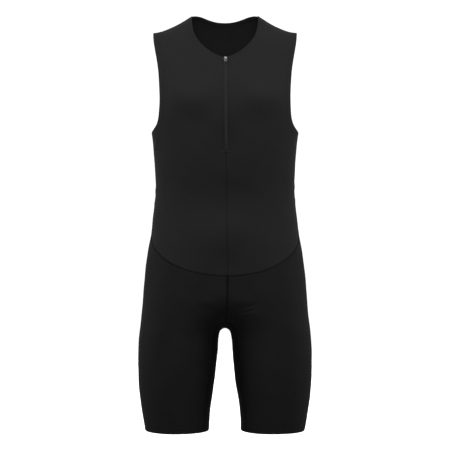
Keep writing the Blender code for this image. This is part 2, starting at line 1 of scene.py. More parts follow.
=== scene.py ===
"""The looks of a sleeveless sports jumpsuit with short legs and a front zip, worn form, no wearer.

Every cloth panel is a fine shell on the form that its CAD wall lies on, with rolled edges, pressed
stitch lines and listed creases. Thread, coil, slider and pull tab are meshes of their own.
Metres, +Z up, and the front faces -Y. Heights are drops below the point where the shoulder seam
meets the neckline, as in the part's source, whose tables of the form are repeated here.
"""

import math
from collections import namedtuple

import bmesh
import bpy
import numpy as np
from mathutils import Matrix, Vector


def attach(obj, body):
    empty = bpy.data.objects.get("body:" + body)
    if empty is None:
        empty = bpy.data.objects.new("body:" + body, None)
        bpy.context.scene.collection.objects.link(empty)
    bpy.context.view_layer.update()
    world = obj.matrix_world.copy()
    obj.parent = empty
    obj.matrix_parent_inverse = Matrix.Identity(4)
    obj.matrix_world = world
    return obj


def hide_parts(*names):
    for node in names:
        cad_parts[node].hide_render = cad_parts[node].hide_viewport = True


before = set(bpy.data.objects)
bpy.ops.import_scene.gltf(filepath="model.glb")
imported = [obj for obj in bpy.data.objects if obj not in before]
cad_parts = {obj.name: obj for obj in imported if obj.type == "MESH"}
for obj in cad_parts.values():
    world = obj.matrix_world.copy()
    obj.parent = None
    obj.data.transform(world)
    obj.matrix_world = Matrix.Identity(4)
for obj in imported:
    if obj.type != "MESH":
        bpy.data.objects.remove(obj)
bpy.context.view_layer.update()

# Driving sizes of the form
NECK_POINT_HEIGHT = 0.020
ARMPIT_DROP = 0.2583
HEM_DROP = 0.9045
WAIST_FRONT_DROP = 0.565
WAIST_SIDE_DROP = 0.467
WAIST_BACK_DROP = 0.430
WAIST_BACK_TURN = 0.40
NECK_HALF_WIDTH = 0.0720
SHOULDER_TIP_ACROSS = 0.1570
SHOULDER_TIP_DROP = 0.0387
SHOULDER_POWER = 2.2
CROTCH_ROUNDING = 0.012
GUSSET_TOP_DROP = 0.6690
ARCH_EYE_BELOW = 0.030
ZIP_TOP_DROP = 0.0995
ZIP_BOTTOM_DROP = 0.3055
ZIP_SLOT = 0.0055
ZIP_SLOT_TAPER = 0.005

Outline = namedtuple("Outline", "drop across")
Depth = namedtuple("Depth", "drop front back middle")
Fork = namedtuple("Fork", "drop centre split")
Squareness = namedtuple("Squareness", "drop power")
Edge = namedtuple("Edge", "across drop")


def table_of(kind, *rows):
    return tuple(kind(*row) for row in rows)


OUTLINE = table_of(
    Outline,
    (-0.0300, 0.1780), (0.0400, 0.1760), (0.1000, 0.1720), (0.1500, 0.1680),
    (0.1950, 0.1655), (0.2300, 0.1625), (0.2583, 0.1600), (0.2823, 0.1569),
    (0.3172, 0.1539), (0.3695, 0.1512), (0.4044, 0.1528), (0.4393, 0.1568),
    (0.4742, 0.1603), (0.5090, 0.1671), (0.5614, 0.1742), (0.6137, 0.1787),
    (0.6660, 0.1834), (0.7096, 0.1879), (0.7554, 0.1896), (0.8077, 0.1875),
    (0.8426, 0.1838), (0.8774, 0.1786), (0.9045, 0.1737),
)

DEPTH = table_of(
    Depth,
    (-0.030, 0.052, 0.098, 0.010), (0.045, 0.070, 0.104, 0.010),
    (0.100, 0.084, 0.110, 0.008), (0.150, 0.102, 0.115, 0.004),
    (0.195, 0.113, 0.115, 0.002), (0.258, 0.115, 0.110, 0.000),
    (0.317, 0.108, 0.098, 0.000), (0.370, 0.101, 0.089, 0.000),
    (0.420, 0.101, 0.091, 0.000), (0.474, 0.104, 0.102, 0.000),
    (0.530, 0.104, 0.115, 0.002), (0.590, 0.101, 0.122, 0.004),
    (0.640, 0.098, 0.119, 0.004), (0.682, 0.095, 0.110, 0.002),
    (0.720, 0.093, 0.101, 0.000), (0.780, 0.090, 0.092, 0.000),
    (0.845, 0.083, 0.083, 0.000), (0.9045, 0.074, 0.074, 0.000),
)

FORK = table_of(
    Fork,
    (0.4400, 0.0000, 0.000), (0.5000, 0.0085, 0.000), (0.5500, 0.0345, 0.050),
    (0.5723, 0.0490, 0.160), (0.5923, 0.0625, 0.295), (0.6123, 0.0742, 0.450),
    (0.6303, 0.0830, 0.600), (0.6453, 0.0889, 0.725), (0.6600, 0.0944, 0.832),
    (0.6700, 0.0978, 0.890), (0.6800, 0.1006, 0.929), (0.6868, 0.1024, 0.953),
    (0.6916, 0.1030, 0.966), (0.7000, 0.1036, 0.976), (0.7096, 0.1041, 0.985),
    (0.7238, 0.1045, 0.993), (0.7379, 0.1049, 0.998), (0.7728, 0.1062, 1.000),
    (0.8077, 0.1072, 1.000), (0.8426, 0.1079, 1.000), (0.8774, 0.1072, 1.000),
    (0.9045, 0.1051, 1.000),
)

SQUARENESS = table_of(
    Squareness,
    (-0.030, 2.50), (0.260, 2.45), (0.420, 2.30), (0.580, 2.25),
    (0.700, 2.10), (0.9045, 2.05),
)

RIDGE = table_of(
    Edge,
    (0.0000, -0.0270), (0.0350, -0.0190), (0.0720, 0.0014), (0.0975, 0.0176),
    (0.1188, 0.0280), (0.1406, 0.0362), (0.1570, 0.0387),
)

NECKLINE_FRONT = table_of(
    Edge,
    (0.0000, 0.0998), (0.0053, 0.0989), (0.0117, 0.0965), (0.0203, 0.0928),
    (0.0294, 0.0874), (0.0386, 0.0806), (0.0526, 0.0667), (0.0625, 0.0528),
    (0.0685, 0.0387), (0.0714, 0.0230), (0.0726, 0.0095), (0.0720, 0.0014),
)

NECKLINE_BACK = table_of(
    Edge,
    (0.0000, 0.0089), (0.0159, 0.0080), (0.0262, 0.0062), (0.0400, 0.0024),
    (0.0513, -0.0009), (0.0600, -0.0018), (0.0670, -0.0008), (0.0720, 0.0014),
)

ARMHOLE = table_of(
    Edge,
    (0.1570, 0.0387), (0.1555, 0.0583), (0.1523, 0.0778), (0.1487, 0.0964),
    (0.1434, 0.1321), (0.1411, 0.1666), (0.1404, 0.2005), (0.1413, 0.2172),
    (0.1438, 0.2336), (0.1514, 0.2494), (0.1600, 0.2583),
)

FRONT_DRIFT = table_of(
    Edge,
    (0.0011, 0.100), (0.0026, 0.296), (0.0034, 0.400), (0.0054, 0.530),
    (0.0054, 0.600), (0.0036, 0.645), (0.0000, 0.669),
)

GUSSET_EDGE = table_of(
    Edge,
    (0.0000, 0.6690), (0.0040, 0.6700), (0.0080, 0.6720), (0.0125, 0.6755),
    (0.0173, 0.6810), (0.0222, 0.6890), (0.0262, 0.7010), (0.0345, 0.7730),
    (0.0420, 0.8400), (0.0475, 0.9045),
)


def steady_through(knots, values):
    """A function through the knots that never overshoots them, and is level outside them."""
    knots = np.array(knots, float)
    values = np.array(values, float)
    slopes = np.diff(values) / np.diff(knots)
    before, after = slopes[:-1], slopes[1:]
    same_way = before * after > 0
    total = np.where(same_way, before + after, 1.0)
    inside = np.where(same_way, 2.0 * before * after / total, 0.0)
    tangents = np.concatenate([slopes[:1], inside, slopes[-1:]])
    return piecewise_cubic(knots, values, tangents, knots[0], knots[-1])


def smooth_through(knots, values, level_start=False):
    """A function through the knots whose bend changes smoothly too."""
    knots = np.array(knots, float)
    values = np.array(values, float)
    steps = np.diff(knots)
    slopes = np.diff(values) / steps
    count = len(knots)
    system = np.zeros((count, count))
    wanted = np.zeros(count)
    system[0, 0], system[0, 1], wanted[0] = 2.0, 1.0, 3.0 * slopes[0]
    if level_start:
        system[0, 1], wanted[0] = 0.0, 0.0
    system[-1, -1], system[-1, -2], wanted[-1] = 2.0, 1.0, 3.0 * slopes[-1]
    for i in range(1, count - 1):
        system[i, i - 1] = steps[i]
        system[i, i] = 2.0 * (steps[i - 1] + steps[i])
        system[i, i + 1] = steps[i - 1]
        wanted[i] = 3.0 * (steps[i] * slopes[i - 1] + steps[i - 1] * slopes[i])
    lowest = knots[0] if level_start else -np.inf
    return piecewise_cubic(knots, values, np.linalg.solve(system, wanted), lowest, np.inf)


def piecewise_cubic(knots, values, tangents, lowest, highest):
    """The cubic curve with these tangents at the knots."""

    def at(where):
        where = np.clip(where, lowest, highest)
        index = np.clip(np.searchsorted(knots, where) - 1, 0, len(knots) - 2)
        step = knots[index + 1] - knots[index]
        share = (where - knots[index]) / step
        rest = 1.0 - share
        return (
            values[index] * (1.0 + 2.0 * share) * rest**2
            + values[index + 1] * (3.0 - 2.0 * share) * share**2
            + step * share * rest * (tangents[index] * rest - tangents[index + 1] * share)
        )

    return at


def column(table, along, of, through=smooth_through, **how):
    """The function of a table's column, by another of its columns."""
    knots = [getattr(row, along) for row in table]
    return through(knots, [getattr(row, of) for row in table], **how)


outline_across = column(OUTLINE, "drop", "across")
depth_front = column(DEPTH, "drop", "front")
depth_back = column(DEPTH, "drop", "back")
depth_middle = column(DEPTH, "drop", "middle")
fork_centre = column(FORK, "drop", "centre", level_start=True)
fork_split_raw = column(FORK, "drop", "split", level_start=True)
ring_power = column(SQUARENESS, "drop", "power")
ridge_drop = column(RIDGE, "across", "drop", level_start=True)
armhole_across = column(ARMHOLE, "drop", "across")
front_drift = column(FRONT_DRIFT, "drop", "across", steady_through)
gusset_across = column(GUSSET_EDGE, "drop", "across", steady_through)


def smooth_step(low, high, value):
    share = np.clip((value - low) / (high - low), 0.0, 1.0)
    return share * share * (3.0 - 2.0 * share)


def fork_split(drop):
    return np.clip(fork_split_raw(drop), 0.0, 1.0)


def leg_ring(drop):
    """Centre and half width of one leg's ring. Where the rings are one, its centre is 0."""
    centre = fork_centre(drop)
    return centre, outline_across(drop) - centre


def ring_room(across, drop):
    """What the ring at this drop leaves for the depth, from 1 in the middle to 0 at its side."""
    centre, half = leg_ring(drop)
    out = np.abs(across)
    rounded = np.sqrt(across**2 + CROTCH_ROUNDING**2)
    toward_middle = fork_split(drop) * np.maximum(centre - rounded, 0.0)
    away = np.where(out >= centre, out - centre, toward_middle)
    return 1.0 - (away / half) ** ring_power(drop)


def shoulder_room(across, drop):
    """What the rounding over the shoulder leaves for the depth: 1 at the armpit, 0 on the ridge."""
    rise = (ARMPIT_DROP - drop) / (ARMPIT_DROP - ridge_drop(np.abs(across)))
    return 1.0 - np.maximum(rise, 0.0) ** SHOULDER_POWER


def half_depth(drop, face):
    """Depth from the sides' line to the front (face -1) or the back (face 1)."""
    middle = depth_middle(drop)
    return np.where(np.asarray(face) < 0, depth_front(drop) + middle, depth_back(drop) - middle)


def form_value(across, y, drop):
    """Below 0 inside the form and above 0 outside it."""
    offset = y - depth_middle(drop)
    depth = half_depth(drop, np.sign(offset))
    room = ring_room(across, drop) * shoulder_room(across, drop)
    return (np.abs(offset) / depth) ** ring_power(drop) - room


def form_y(across, drop, face):
    """Y of the form's front or back at this place in the front view."""
    room = np.maximum(ring_room(across, drop) * shoulder_room(across, drop), 0.0)
    return depth_middle(drop) + face * half_depth(drop, face) * room ** (1.0 / ring_power(drop))


def form_slope(across, y, drop):
    """The direction in X, Y, Z in which the form's value grows, and how fast."""
    step = 0.0002
    return np.stack(
        [
            form_value(across + step, y, drop) - form_value(across - step, y, drop),
            form_value(across, y + step, drop) - form_value(across, y - step, drop),
            form_value(across, y, drop - step) - form_value(across, y, drop + step),
        ],
        axis=-1,
    ) / (2.0 * step)


def unit(vectors):
    return vectors / np.maximum(np.linalg.norm(vectors, axis=-1, keepdims=True), 1e-12)


def form_normal(points):
    """Unit vectors that point out of the form, at points given in X, Y, Z."""
    return unit(form_slope(points[..., 0], points[..., 1], NECK_POINT_HEIGHT - points[..., 2]))


def settled(points, rounds=4, furthest=0.004):
    """These points moved along the form's normals until they lie on it."""
    points = np.array(points, float)
    for _ in range(rounds):
        drop = NECK_POINT_HEIGHT - points[..., 2]
        slope = form_slope(points[..., 0], points[..., 1], drop)
        speed = np.maximum(np.linalg.norm(slope, axis=-1), 1e-6)
        off = form_value(points[..., 0], points[..., 1], drop) / speed
        points -= np.clip(off, -furthest, furthest)[..., None] * slope / speed[..., None]
    return points


def waist_drop(share, face):
    """The waist seam, from the middle (share 0) to the side (share 1)."""
    if face < 0:
        turn = np.asarray(share) * math.pi / 2.0
        fall = WAIST_FRONT_DROP - WAIST_SIDE_DROP
        return WAIST_FRONT_DROP - fall * (1.0 - np.cos(turn))
    past_side = (1.0 - np.asarray(share)) * math.pi / 2.0
    levelled = 1.0 - np.exp(-past_side / WAIST_BACK_TURN)
    whole = 1.0 - math.exp(-math.pi / 2.0 / WAIST_BACK_TURN)
    return WAIST_SIDE_DROP - (WAIST_SIDE_DROP - WAIST_BACK_DROP) * levelled / whole


def neckline(share, face):
    """Across and drop of the neckline, from the middle (share 0) to the shoulder seam (share 1)."""
    points = np.array(NECKLINE_FRONT if face < 0 else NECKLINE_BACK)
    lengths = np.linalg.norm(np.diff(points, axis=0), axis=1)
    along = np.concatenate([[0.0], np.cumsum(lengths)]) / lengths.sum()
    return smooth_through(along, points[:, 0])(share), smooth_through(along, points[:, 1])(share)


def edge_across(drop):
    """The side seam below the armpit, and the armhole's edge above it."""
    return np.where(drop >= ARMPIT_DROP, outline_across(drop), armhole_across(drop))


# Rows and columns of the shells
CLOSER_AT_ENDS = 0.88  # share by which steps shrink at a seam or an edge
FRONT_COLUMNS = 84
FRONT_ROWS_MIDDLE = 66  # from the armpit to the neckline's lowest point
FRONT_ROWS_NECK = 92
BACK_HALF_COLUMNS = 70
TRUNK_ROWS_BELOW = 90
BACK_ROWS_ABOVE = 110
LEG_HALF_COLUMNS = 98
HIP_ROWS = 72
THIGH_ROWS = 104
GUSSET_COLUMNS = 36
BACK_NECK_SHARE = 0.5  # of the back's columns, that end on the neckline
ARMPIT_AT = 0.487  # of the front's rows
NECK_AT = 0.775
STRAIGHT_FROM = 0.40  # share of the height above which the columns start to run straight
SHOULDER_FROM = 0.60  # and above which the rows take the shoulder seam's shape
NECK_EASING = 1.8  # how much the rows close up towards the shoulder
LEG_START_TURN = 34.0  # degrees round the thigh at which a leg panel's columns start
APART_OVER = 0.05  # drop below the gusset's top by which the legs are rings of their own
LINE_SAMPLES = 240
NEAR_CORNER = 40  # of those, that reach past the neckline's corner
ARCH_STEP = 0.001
ARCH_STEPS = 120
ARCH_HALVINGS = 18
ARCH_EASING = 1.7


def shares(count, close_at_start=True, close_at_end=True):
    """Shares from 0 to 1 whose steps shrink towards the ends that ask for it."""
    even = np.linspace(0.0, 1.0, count + 1)
    if close_at_start and close_at_end:
        return even - CLOSER_AT_ENDS * np.sin(2.0 * math.pi * even) / (2.0 * math.pi)
    bent = CLOSER_AT_ENDS * np.sin(math.pi * even) / math.pi
    if close_at_end:
        return even + bent
    return even - bent if close_at_start else even


def slot_half(drop):
    """Half the opening between the front panels: the zip's slot, then a closed seam."""
    open_share = 1.0 - smooth_step(ZIP_BOTTOM_DROP - ZIP_SLOT_TAPER, ZIP_BOTTOM_DROP, drop)
    return ZIP_SLOT / 2.0 * open_share


def as_points(across, y, drop):
    return np.stack([across, y, NECK_POINT_HEIGHT - drop], axis=-1)


def resampled(points, wanted):
    """Points at these shares of a line's length."""
    steps = np.linalg.norm(np.diff(points, axis=0), axis=1)
    run = np.concatenate([[0.0], np.cumsum(steps)]) / steps.sum()
    return np.stack([np.interp(wanted, run, points[:, i]) for i in range(points.shape[1])], axis=-1)


def front_inner_side(side, rows):
    """Across and drop of a front panel's middle border: the centre line, then the neckline."""
    neck = np.stack(neckline(np.linspace(0.0, 1.0, LINE_SAMPLES), -1), axis=-1) * (side, 1.0)
    corner_across = float(front_drift(ZIP_TOP_DROP) + side * slot_half(ZIP_TOP_DROP))
    start = neck[:NEAR_CORNER]
    corner_drop = np.interp(abs(corner_across), np.abs(start[:, 0]), start[:, 1])
    beyond = neck[side * neck[:, 0] > abs(corner_across)]
    neck = np.concatenate([[(corner_across, corner_drop)], beyond])
    drop = WAIST_FRONT_DROP + (corner_drop - WAIST_FRONT_DROP) * np.minimum(rows / NECK_AT, 1.0)
    centre = np.stack([front_drift(drop) + side * slot_half(drop), drop], axis=-1)
    on_neck = resampled(neck, np.clip((rows - NECK_AT) / (1.0 - NECK_AT), 0.0, 1.0))
    return np.where(rows[:, None] <= NECK_AT, centre, on_neck)


def front_outer_side(side, rows):
    """Across and drop of its other border: the side seam, then the armhole."""
    below = WAIST_SIDE_DROP - (WAIST_SIDE_DROP - ARMPIT_DROP) * rows / ARMPIT_AT
    above = ARMPIT_DROP - (ARMPIT_DROP - SHOULDER_TIP_DROP) * (rows - ARMPIT_AT) / (1.0 - ARMPIT_AT)
    drop = np.where(rows <= ARMPIT_AT, below, above)
    return np.stack([side * edge_across(drop), drop], axis=-1)


def less_its_chord(line, share):
    """How far a border stands off the straight line between its ends."""
    return line - (1.0 - share) * line[:, :1] - share * line[:, -1:]


def front_grid(side):
    """Points of half the front, by row from the waist seam up and by column from the middle."""
    near_top = np.linspace(0.0, 1.0, FRONT_ROWS_NECK + 1)[1:]
    rows = np.concatenate(
        [
            ARMPIT_AT * shares(TRUNK_ROWS_BELOW, close_at_end=False),
            np.linspace(ARMPIT_AT, NECK_AT, FRONT_ROWS_MIDDLE + 1)[1:],
            NECK_AT + (1.0 - NECK_AT) * (1.0 - (1.0 - near_top) ** NECK_EASING),
        ]
    )
    inner = front_inner_side(side, rows)[:, None]
    outer = front_outer_side(side, rows)[:, None]
    columns = shares(FRONT_COLUMNS)
    straight = smooth_step(STRAIGHT_FROM, 1.0, rows)[:, None]
    share = (1.0 - straight) * np.sin(columns * math.pi / 2.0) + straight * columns
    waist = waist_drop(np.arcsin(np.clip(share, 0.0, 1.0)) * 2.0 / math.pi, -1)
    seam_across = NECK_HALF_WIDTH + (SHOULDER_TIP_ACROSS - NECK_HALF_WIDTH) * share
    shoulder = ridge_drop(seam_across)
    across, drop = np.moveaxis((1.0 - share[..., None]) * inner + share[..., None] * outer, -1, 0)
    low = 1.0 - smooth_step(0.0, ARMPIT_AT, rows)[:, None]
    high = smooth_step(SHOULDER_FROM, 1.0, rows)[:, None]
    drop = drop + less_its_chord(waist, share) * low + less_its_chord(shoulder, share) * high
    waist_start = inner[:1, :, 0]
    waist_across = waist_start + (side * outline_across(waist) - waist_start) * share
    across = across + less_its_chord(waist_across, share) * low
    return as_points(across, form_y(across, drop, -1), drop)


def back_half(side, columns):
    """Points of half the back, by row from the waist seam up and by column from the middle."""
    whole = WAIST_SIDE_DROP - SHOULDER_TIP_DROP
    armpit = (WAIST_SIDE_DROP - ARMPIT_DROP) / whole
    above = (1.0 - np.cos(np.linspace(0.0, math.pi, BACK_ROWS_ABOVE + 1)[1:])) / 2.0
    below = armpit * shares(TRUNK_ROWS_BELOW, close_at_end=False)
    rise = np.concatenate([below, armpit + (1.0 - armpit) * above])[:, None]
    low_share = np.sin(columns * math.pi / 2.0)
    low_drop = waist_drop(columns, 1)
    neck_across, neck_drop = neckline(np.minimum(columns / BACK_NECK_SHARE, 1.0), 1)
    past_neck = np.clip((columns - BACK_NECK_SHARE) / (1.0 - BACK_NECK_SHARE), 0.0, 1.0)
    seam_across = NECK_HALF_WIDTH + (SHOULDER_TIP_ACROSS - NECK_HALF_WIDTH) * past_neck
    on_neck = columns <= BACK_NECK_SHARE
    top_across = np.where(on_neck, neck_across, seam_across)
    top_drop = np.where(on_neck, neck_drop, ridge_drop(seam_across))
    top_share = top_across / edge_across(top_drop)
    drop = low_drop + (top_drop - low_drop) * rise
    share = low_share + (top_share - low_share) * smooth_step(STRAIGHT_FROM, 1.0, rise)
    across = side * edge_across(drop) * share
    return as_points(across, form_y(across, drop, 1), drop)


def leg_columns(side, face, drop, apart):
    """One face of rows of a leg panel, from the middle or the gusset's edge to the side."""
    columns = np.linspace(0.0, 1.0, LEG_HALF_COLUMNS + 1)
    start_turn = math.radians(LEG_START_TURN)
    turns = start_turn + (math.pi - start_turn) * columns
    on_leg = (math.cos(start_turn) - np.cos(turns)) / (1.0 + math.cos(start_turn))
    share = np.sin(columns * math.pi / 2.0) * (1.0 - apart) + on_leg * apart
    above = drop < GUSSET_TOP_DROP
    drifted = front_drift(drop) if face < 0 else 0.0
    start = np.where(above, drifted, side * gusset_across(drop))
    across = start + (side * outline_across(drop) - start) * share
    return as_points(across, form_y(across, drop, face), drop)


def leg_grid(side):
    """Points of a leg panel, by row from the waist seam down and by column from front to back."""
    columns = np.linspace(0.0, 1.0, LEG_HALF_COLUMNS + 1)
    sink = shares(HIP_ROWS, close_at_end=False)[:-1, None]
    level = fork_drops()[:, None]
    apart = smooth_step(GUSSET_TOP_DROP, GUSSET_TOP_DROP + APART_OVER, level)
    halves = []
    for face in (-1, 1):
        seam = waist_drop(columns, face)
        hip = leg_columns(side, face, seam + (GUSSET_TOP_DROP - seam) * sink, 0.0)
        thigh = leg_columns(side, face, level + np.zeros_like(columns), apart)
        halves.append(np.concatenate([hip, thigh]))
    return np.concatenate([halves[0], halves[1][:, -2::-1]], axis=1)


def fork_drops():
    """Drops of the rows from the gusset's top to the hem, close together at the arch and hem."""
    even = np.linspace(0.0, 1.0, THIGH_ROWS + 1)
    eased = np.where(even < 0.5, even, shares(THIGH_ROWS, close_at_start=False))
    at_both, at_hem, at_arch = 0.35, 0.25, 0.40  # how much of each kind of closing up
    share = smooth_step(0.0, 1.0, even) * at_both + eased * at_hem + even**ARCH_EASING * at_arch
    return GUSSET_TOP_DROP + (HEM_DROP - GUSSET_TOP_DROP) * share / share[-1]


def reach_from_arch(eyes, directions):
    """How far from each eye, between the legs, the form lies in its direction."""

    def outside(reach):
        points = eyes + directions * reach[..., None]
        return form_value(points[..., 0], points[..., 1], NECK_POINT_HEIGHT - points[..., 2]) > 0

    far = np.zeros(eyes.shape[:-1])
    for _ in range(ARCH_STEPS):
        far = np.where(outside(far), far + ARCH_STEP, far)
    near = far - ARCH_STEP
    for _ in range(ARCH_HALVINGS):
        middle = (near + far) / 2.0
        is_out = outside(middle)
        near = np.where(is_out, middle, near)
        far = np.where(is_out, far, middle)
    return far


def gusset_grid():
    """Points of the gusset, by row from hem to hem over the arch and by column from front to back."""
    levels = fork_drops()
    side = np.concatenate([-np.ones(len(levels)), np.ones(len(levels) - 1)])
    level = np.concatenate([levels[::-1], levels[1:]])
    across = side * gusset_across(level)
    front = form_y(across, level, -1)
    back = form_y(across, level, 1)
    share = shares(GUSSET_COLUMNS)
    y = front[:, None] + (back - front)[:, None] * share
    eye_level = np.maximum(level, GUSSET_TOP_DROP + ARCH_EYE_BELOW)
    eyes = as_points(np.zeros_like(y), y, eye_level[:, None] + np.zeros_like(y))
    ways = unit(np.stack([across, np.zeros_like(across), eye_level - level], axis=-1))
    directions = ways[:, None, :] + np.zeros_like(eyes)
    return eyes + directions * reach_from_arch(eyes, directions)[..., None]


# Creases. One on the front or back is placed in the front view, by across and drop, and one on the
# trunk or a leg by its turn round it, in degrees from the front towards the wearer's left. It runs at
# an angle from level, downwards to the viewer's right, and bows by so much in the middle. Length and
# width are taken from its middle, and a negative height is a hollow.
Crease = namedtuple("Crease", "ring at drop angle length width height bow")
RING_RADIUS = {"trunk": 0.143, "left": 0.086, "right": 0.086}
TRUNK_HALF_DEPTH = 0.105
LEG_HALF_DEPTH = 0.095
FADE_AT_SIDES = 0.03  # depth over which a crease on the front or back dies out
LOBE = 0.35  # of a crease's height, on the other side of the cloth along both its flanks
LOBE_AT = 1.9  # widths from its middle
END_EASING = 1.5
CREASES = table_of(
    Crease,
    # the chest, and the hollow under each side of it
    ("front", 0.080, 0.186, -3.0, 0.062, 0.0260, 0.0040, 0.004),
    ("front", -0.070, 0.186, 3.0, 0.056, 0.0260, 0.0040, 0.004),
    ("front", 0.076, 0.238, -3.0, 0.056, 0.0280, -0.0015, 0.004),
    ("front", -0.070, 0.238, 3.0, 0.050, 0.0280, -0.0015, 0.004),
    # the ribs' lower edge and the low belly
    ("front", 0.000, 0.350, 0.0, 0.160, 0.0460, 0.0046, 0.000),
    ("front", 0.000, 0.474, 0.0, 0.115, 0.0440, 0.0052, 0.000),
    # the hollow round the crotch, and the soft folds that run up and out from it
    ("front", 0.000, 0.674, 0.0, 0.085, 0.0260, -0.0036, 0.000),
    ("front", -0.034, 0.640, 14.0, 0.034, 0.0100, -0.0014, -0.002),
    ("front", 0.040, 0.638, -16.0, 0.040, 0.0100, -0.0014, -0.002),
    # fine ones beside the crotch, as in the photo
    ("front", 0.056, 0.628, -19.0, 0.020, 0.0026, -0.0009, 0.001),
    ("front", 0.050, 0.640, -16.0, 0.026, 0.0026, -0.0011, 0.001),
    ("front", 0.046, 0.651, -12.0, 0.018, 0.0024, -0.0007, 0.001),
    # in the lower middle of each leg
    ("front", -0.088, 0.835, 84.0, 0.070, 0.0160, -0.0020, 0.004),
    ("front", 0.112, 0.835, -84.0, 0.070, 0.0160, -0.0022, 0.004),
    # from the armpits
    ("trunk", 66.0, 0.283, 38.0, 0.034, 0.0042, 0.0010, 0.003),
    ("trunk", -66.0, 0.285, -38.0, 0.032, 0.0042, 0.0010, 0.003),
    ("trunk", 118.0, 0.285, -36.0, 0.036, 0.0045, 0.0012, 0.003),
    ("trunk", -118.0, 0.281, 36.0, 0.034, 0.0045, 0.0012, 0.003),
    # between the shoulder blades and across the small of the back
    ("back", 0.070, 0.160, 0.0, 0.060, 0.0300, 0.0022, 0.000),
    ("back", -0.070, 0.160, 0.0, 0.060, 0.0300, 0.0022, 0.000),
    ("trunk", 172.0, 0.352, 3.0, 0.062, 0.0065, 0.0015, -0.006),
    ("trunk", -166.0, 0.376, -5.0, 0.055, 0.0060, 0.0014, -0.005),
    ("trunk", 160.0, 0.398, 6.0, 0.050, 0.0060, 0.0012, -0.004),
    ("trunk", -176.0, 0.418, 2.0, 0.058, 0.0065, 0.0010, -0.005),
    # at the waist's sides
    ("trunk", 84.0, 0.372, -8.0, 0.036, 0.0060, 0.0008, 0.003),
    ("trunk", -86.0, 0.380, 8.0, 0.036, 0.0060, 0.0008, 0.003),
    ("trunk", 96.0, 0.402, -5.0, 0.032, 0.0055, 0.0008, 0.002),
    ("trunk", -96.0, 0.408, 5.0, 0.032, 0.0055, 0.0008, 0.002),
    # under the seat, at the back of each leg
    ("left", 168.0, 0.704, 7.0, 0.046, 0.0060, -0.0015, -0.006),
    ("right", -168.0, 0.702, -7.0, 0.044, 0.0060, -0.0015, -0.006),
    ("left", 176.0, 0.724, 4.0, 0.036, 0.0050, -0.0010, -0.004),
    ("right", -174.0, 0.726, -4.0, 0.036, 0.0050, -0.0010, -0.004),
    # from the crotch, at the back
    ("left", -146.0, 0.664, -24.0, 0.022, 0.0024, -0.0009, 0.002),
    ("right", 148.0, 0.668, 24.0, 0.020, 0.0024, -0.0009, 0.002),
)
UNEVENNESS = 0.00028  # of pressed cloth that nothing pulls on
THIRD_WAVE = 0.7
Wave = namedtuple("Wave", "x y z start")
WAVES = table_of(Wave, (61.0, 0.0, 37.0, 1.3), (0.0, -29.0, 83.0, 0.4), (-71.0, 47.0, 53.0, 0.0))


def turn_round(points, ring):
    """Turns in radians round the trunk or a leg, from the front, at these points."""
    drop = NECK_POINT_HEIGHT - points[..., 2]
    forward = depth_middle(drop) - points[..., 1]
    centre, half = leg_ring(drop)
    if ring == "trunk":
        return np.arctan2(points[..., 0] / outline_across(drop), forward / TRUNK_HALF_DEPTH)
    side = 1.0 if ring == "left" else -1.0
    return np.arctan2((points[..., 0] - side * centre) / half, forward / LEG_HALF_DEPTH)


def crease_frame(points, drop, crease):
    """How far each point lies to the side of a crease's middle, and where the crease may reach."""
    if crease.ring in ("front", "back"):
        depth = points[..., 1] - depth_middle(drop)
        facing = -depth if crease.ring == "front" else depth
        return points[..., 0] - crease.at, smooth_step(0.0, FADE_AT_SIDES, facing)
    turned = turn_round(points, crease.ring) - math.radians(crease.at)
    turned = (turned + math.pi) % (2.0 * math.pi) - math.pi
    on_side = {"trunk": 1.0, "left": points[..., 0] > 0.0, "right": points[..., 0] < 0.0}
    return turned * RING_RADIUS[crease.ring], on_side[crease.ring]


def relief(points):
    """How far the creased cloth stands out of the form at these points."""
    drop = NECK_POINT_HEIGHT - points[..., 2]
    height = np.zeros(drop.shape)
    for crease in CREASES:
        out, allowed = crease_frame(points, drop, crease)
        down = drop - crease.drop
        angle = math.radians(crease.angle)
        along = (out * math.cos(angle) + down * math.sin(angle)) / crease.length
        reach = np.clip(1.0 - along**2, 0.0, 1.0)
        across = down * math.cos(angle) - out * math.sin(angle) - crease.bow * reach
        flank = across / crease.width
        shape = np.exp(-(flank**2)) - LOBE * np.exp(-((np.abs(flank) - LOBE_AT) ** 2))
        height += crease.height * reach**END_EASING * shape * allowed
    first, second, third = (
        np.sin(wave.x * points[..., 0] + wave.y * points[..., 1] + wave.z * points[..., 2] + wave.start)
        for wave in WAVES
    )
    return height + UNEVENNESS * (first * second + THIRD_WAVE * third)


# Cloth at an edge
Border = namedtuple("Border", "thickness turning stitched dent")
SEAM = Border(0.0018, 0.0035, (0.0026,), 0.00022)
FREE = Border(0.0019, 0.0145, (0.0110, 0.0134), 0.00014)
NECK_EDGE = Border(0.0019, 0.0085, (0.0062,), 0.00014)
ZIP_EDGE = Border(0.0016, 0.0070, (0.0052,), 0.00014)
HEM_EDGE = Border(0.0020, 0.0185, (0.0145, 0.0172), 0.00014)
MIDDLE_THICKNESS = 0.0010
TURNING_STEP = 0.0008
DENT_WIDTH = 0.0008
ROLL_GAP = 0.00002


def distance_to(points, line):
    """Distance from each point to the nearest place on a line of points."""
    nearest = np.full(points.shape[:-1], np.inf)
    for start, step in zip(line[:-1], np.diff(line, axis=0)):
        off = points - start
        share = np.clip(off @ step / max(step @ step, 1e-18), 0.0, 1.0)
        nearest = np.minimum(nearest, ((off - share[..., None] * step) ** 2).sum(axis=-1))
    return np.sqrt(nearest)


def rolled(distance, thickness):
    """How far an edge's surface rolls in over a full round of this thickness."""
    radius = thickness / 2.0 - ROLL_GAP
    inward = np.clip(radius - distance, 0.0, radius)
    return radius - np.sqrt(np.maximum(radius**2 - inward**2, 0.0))


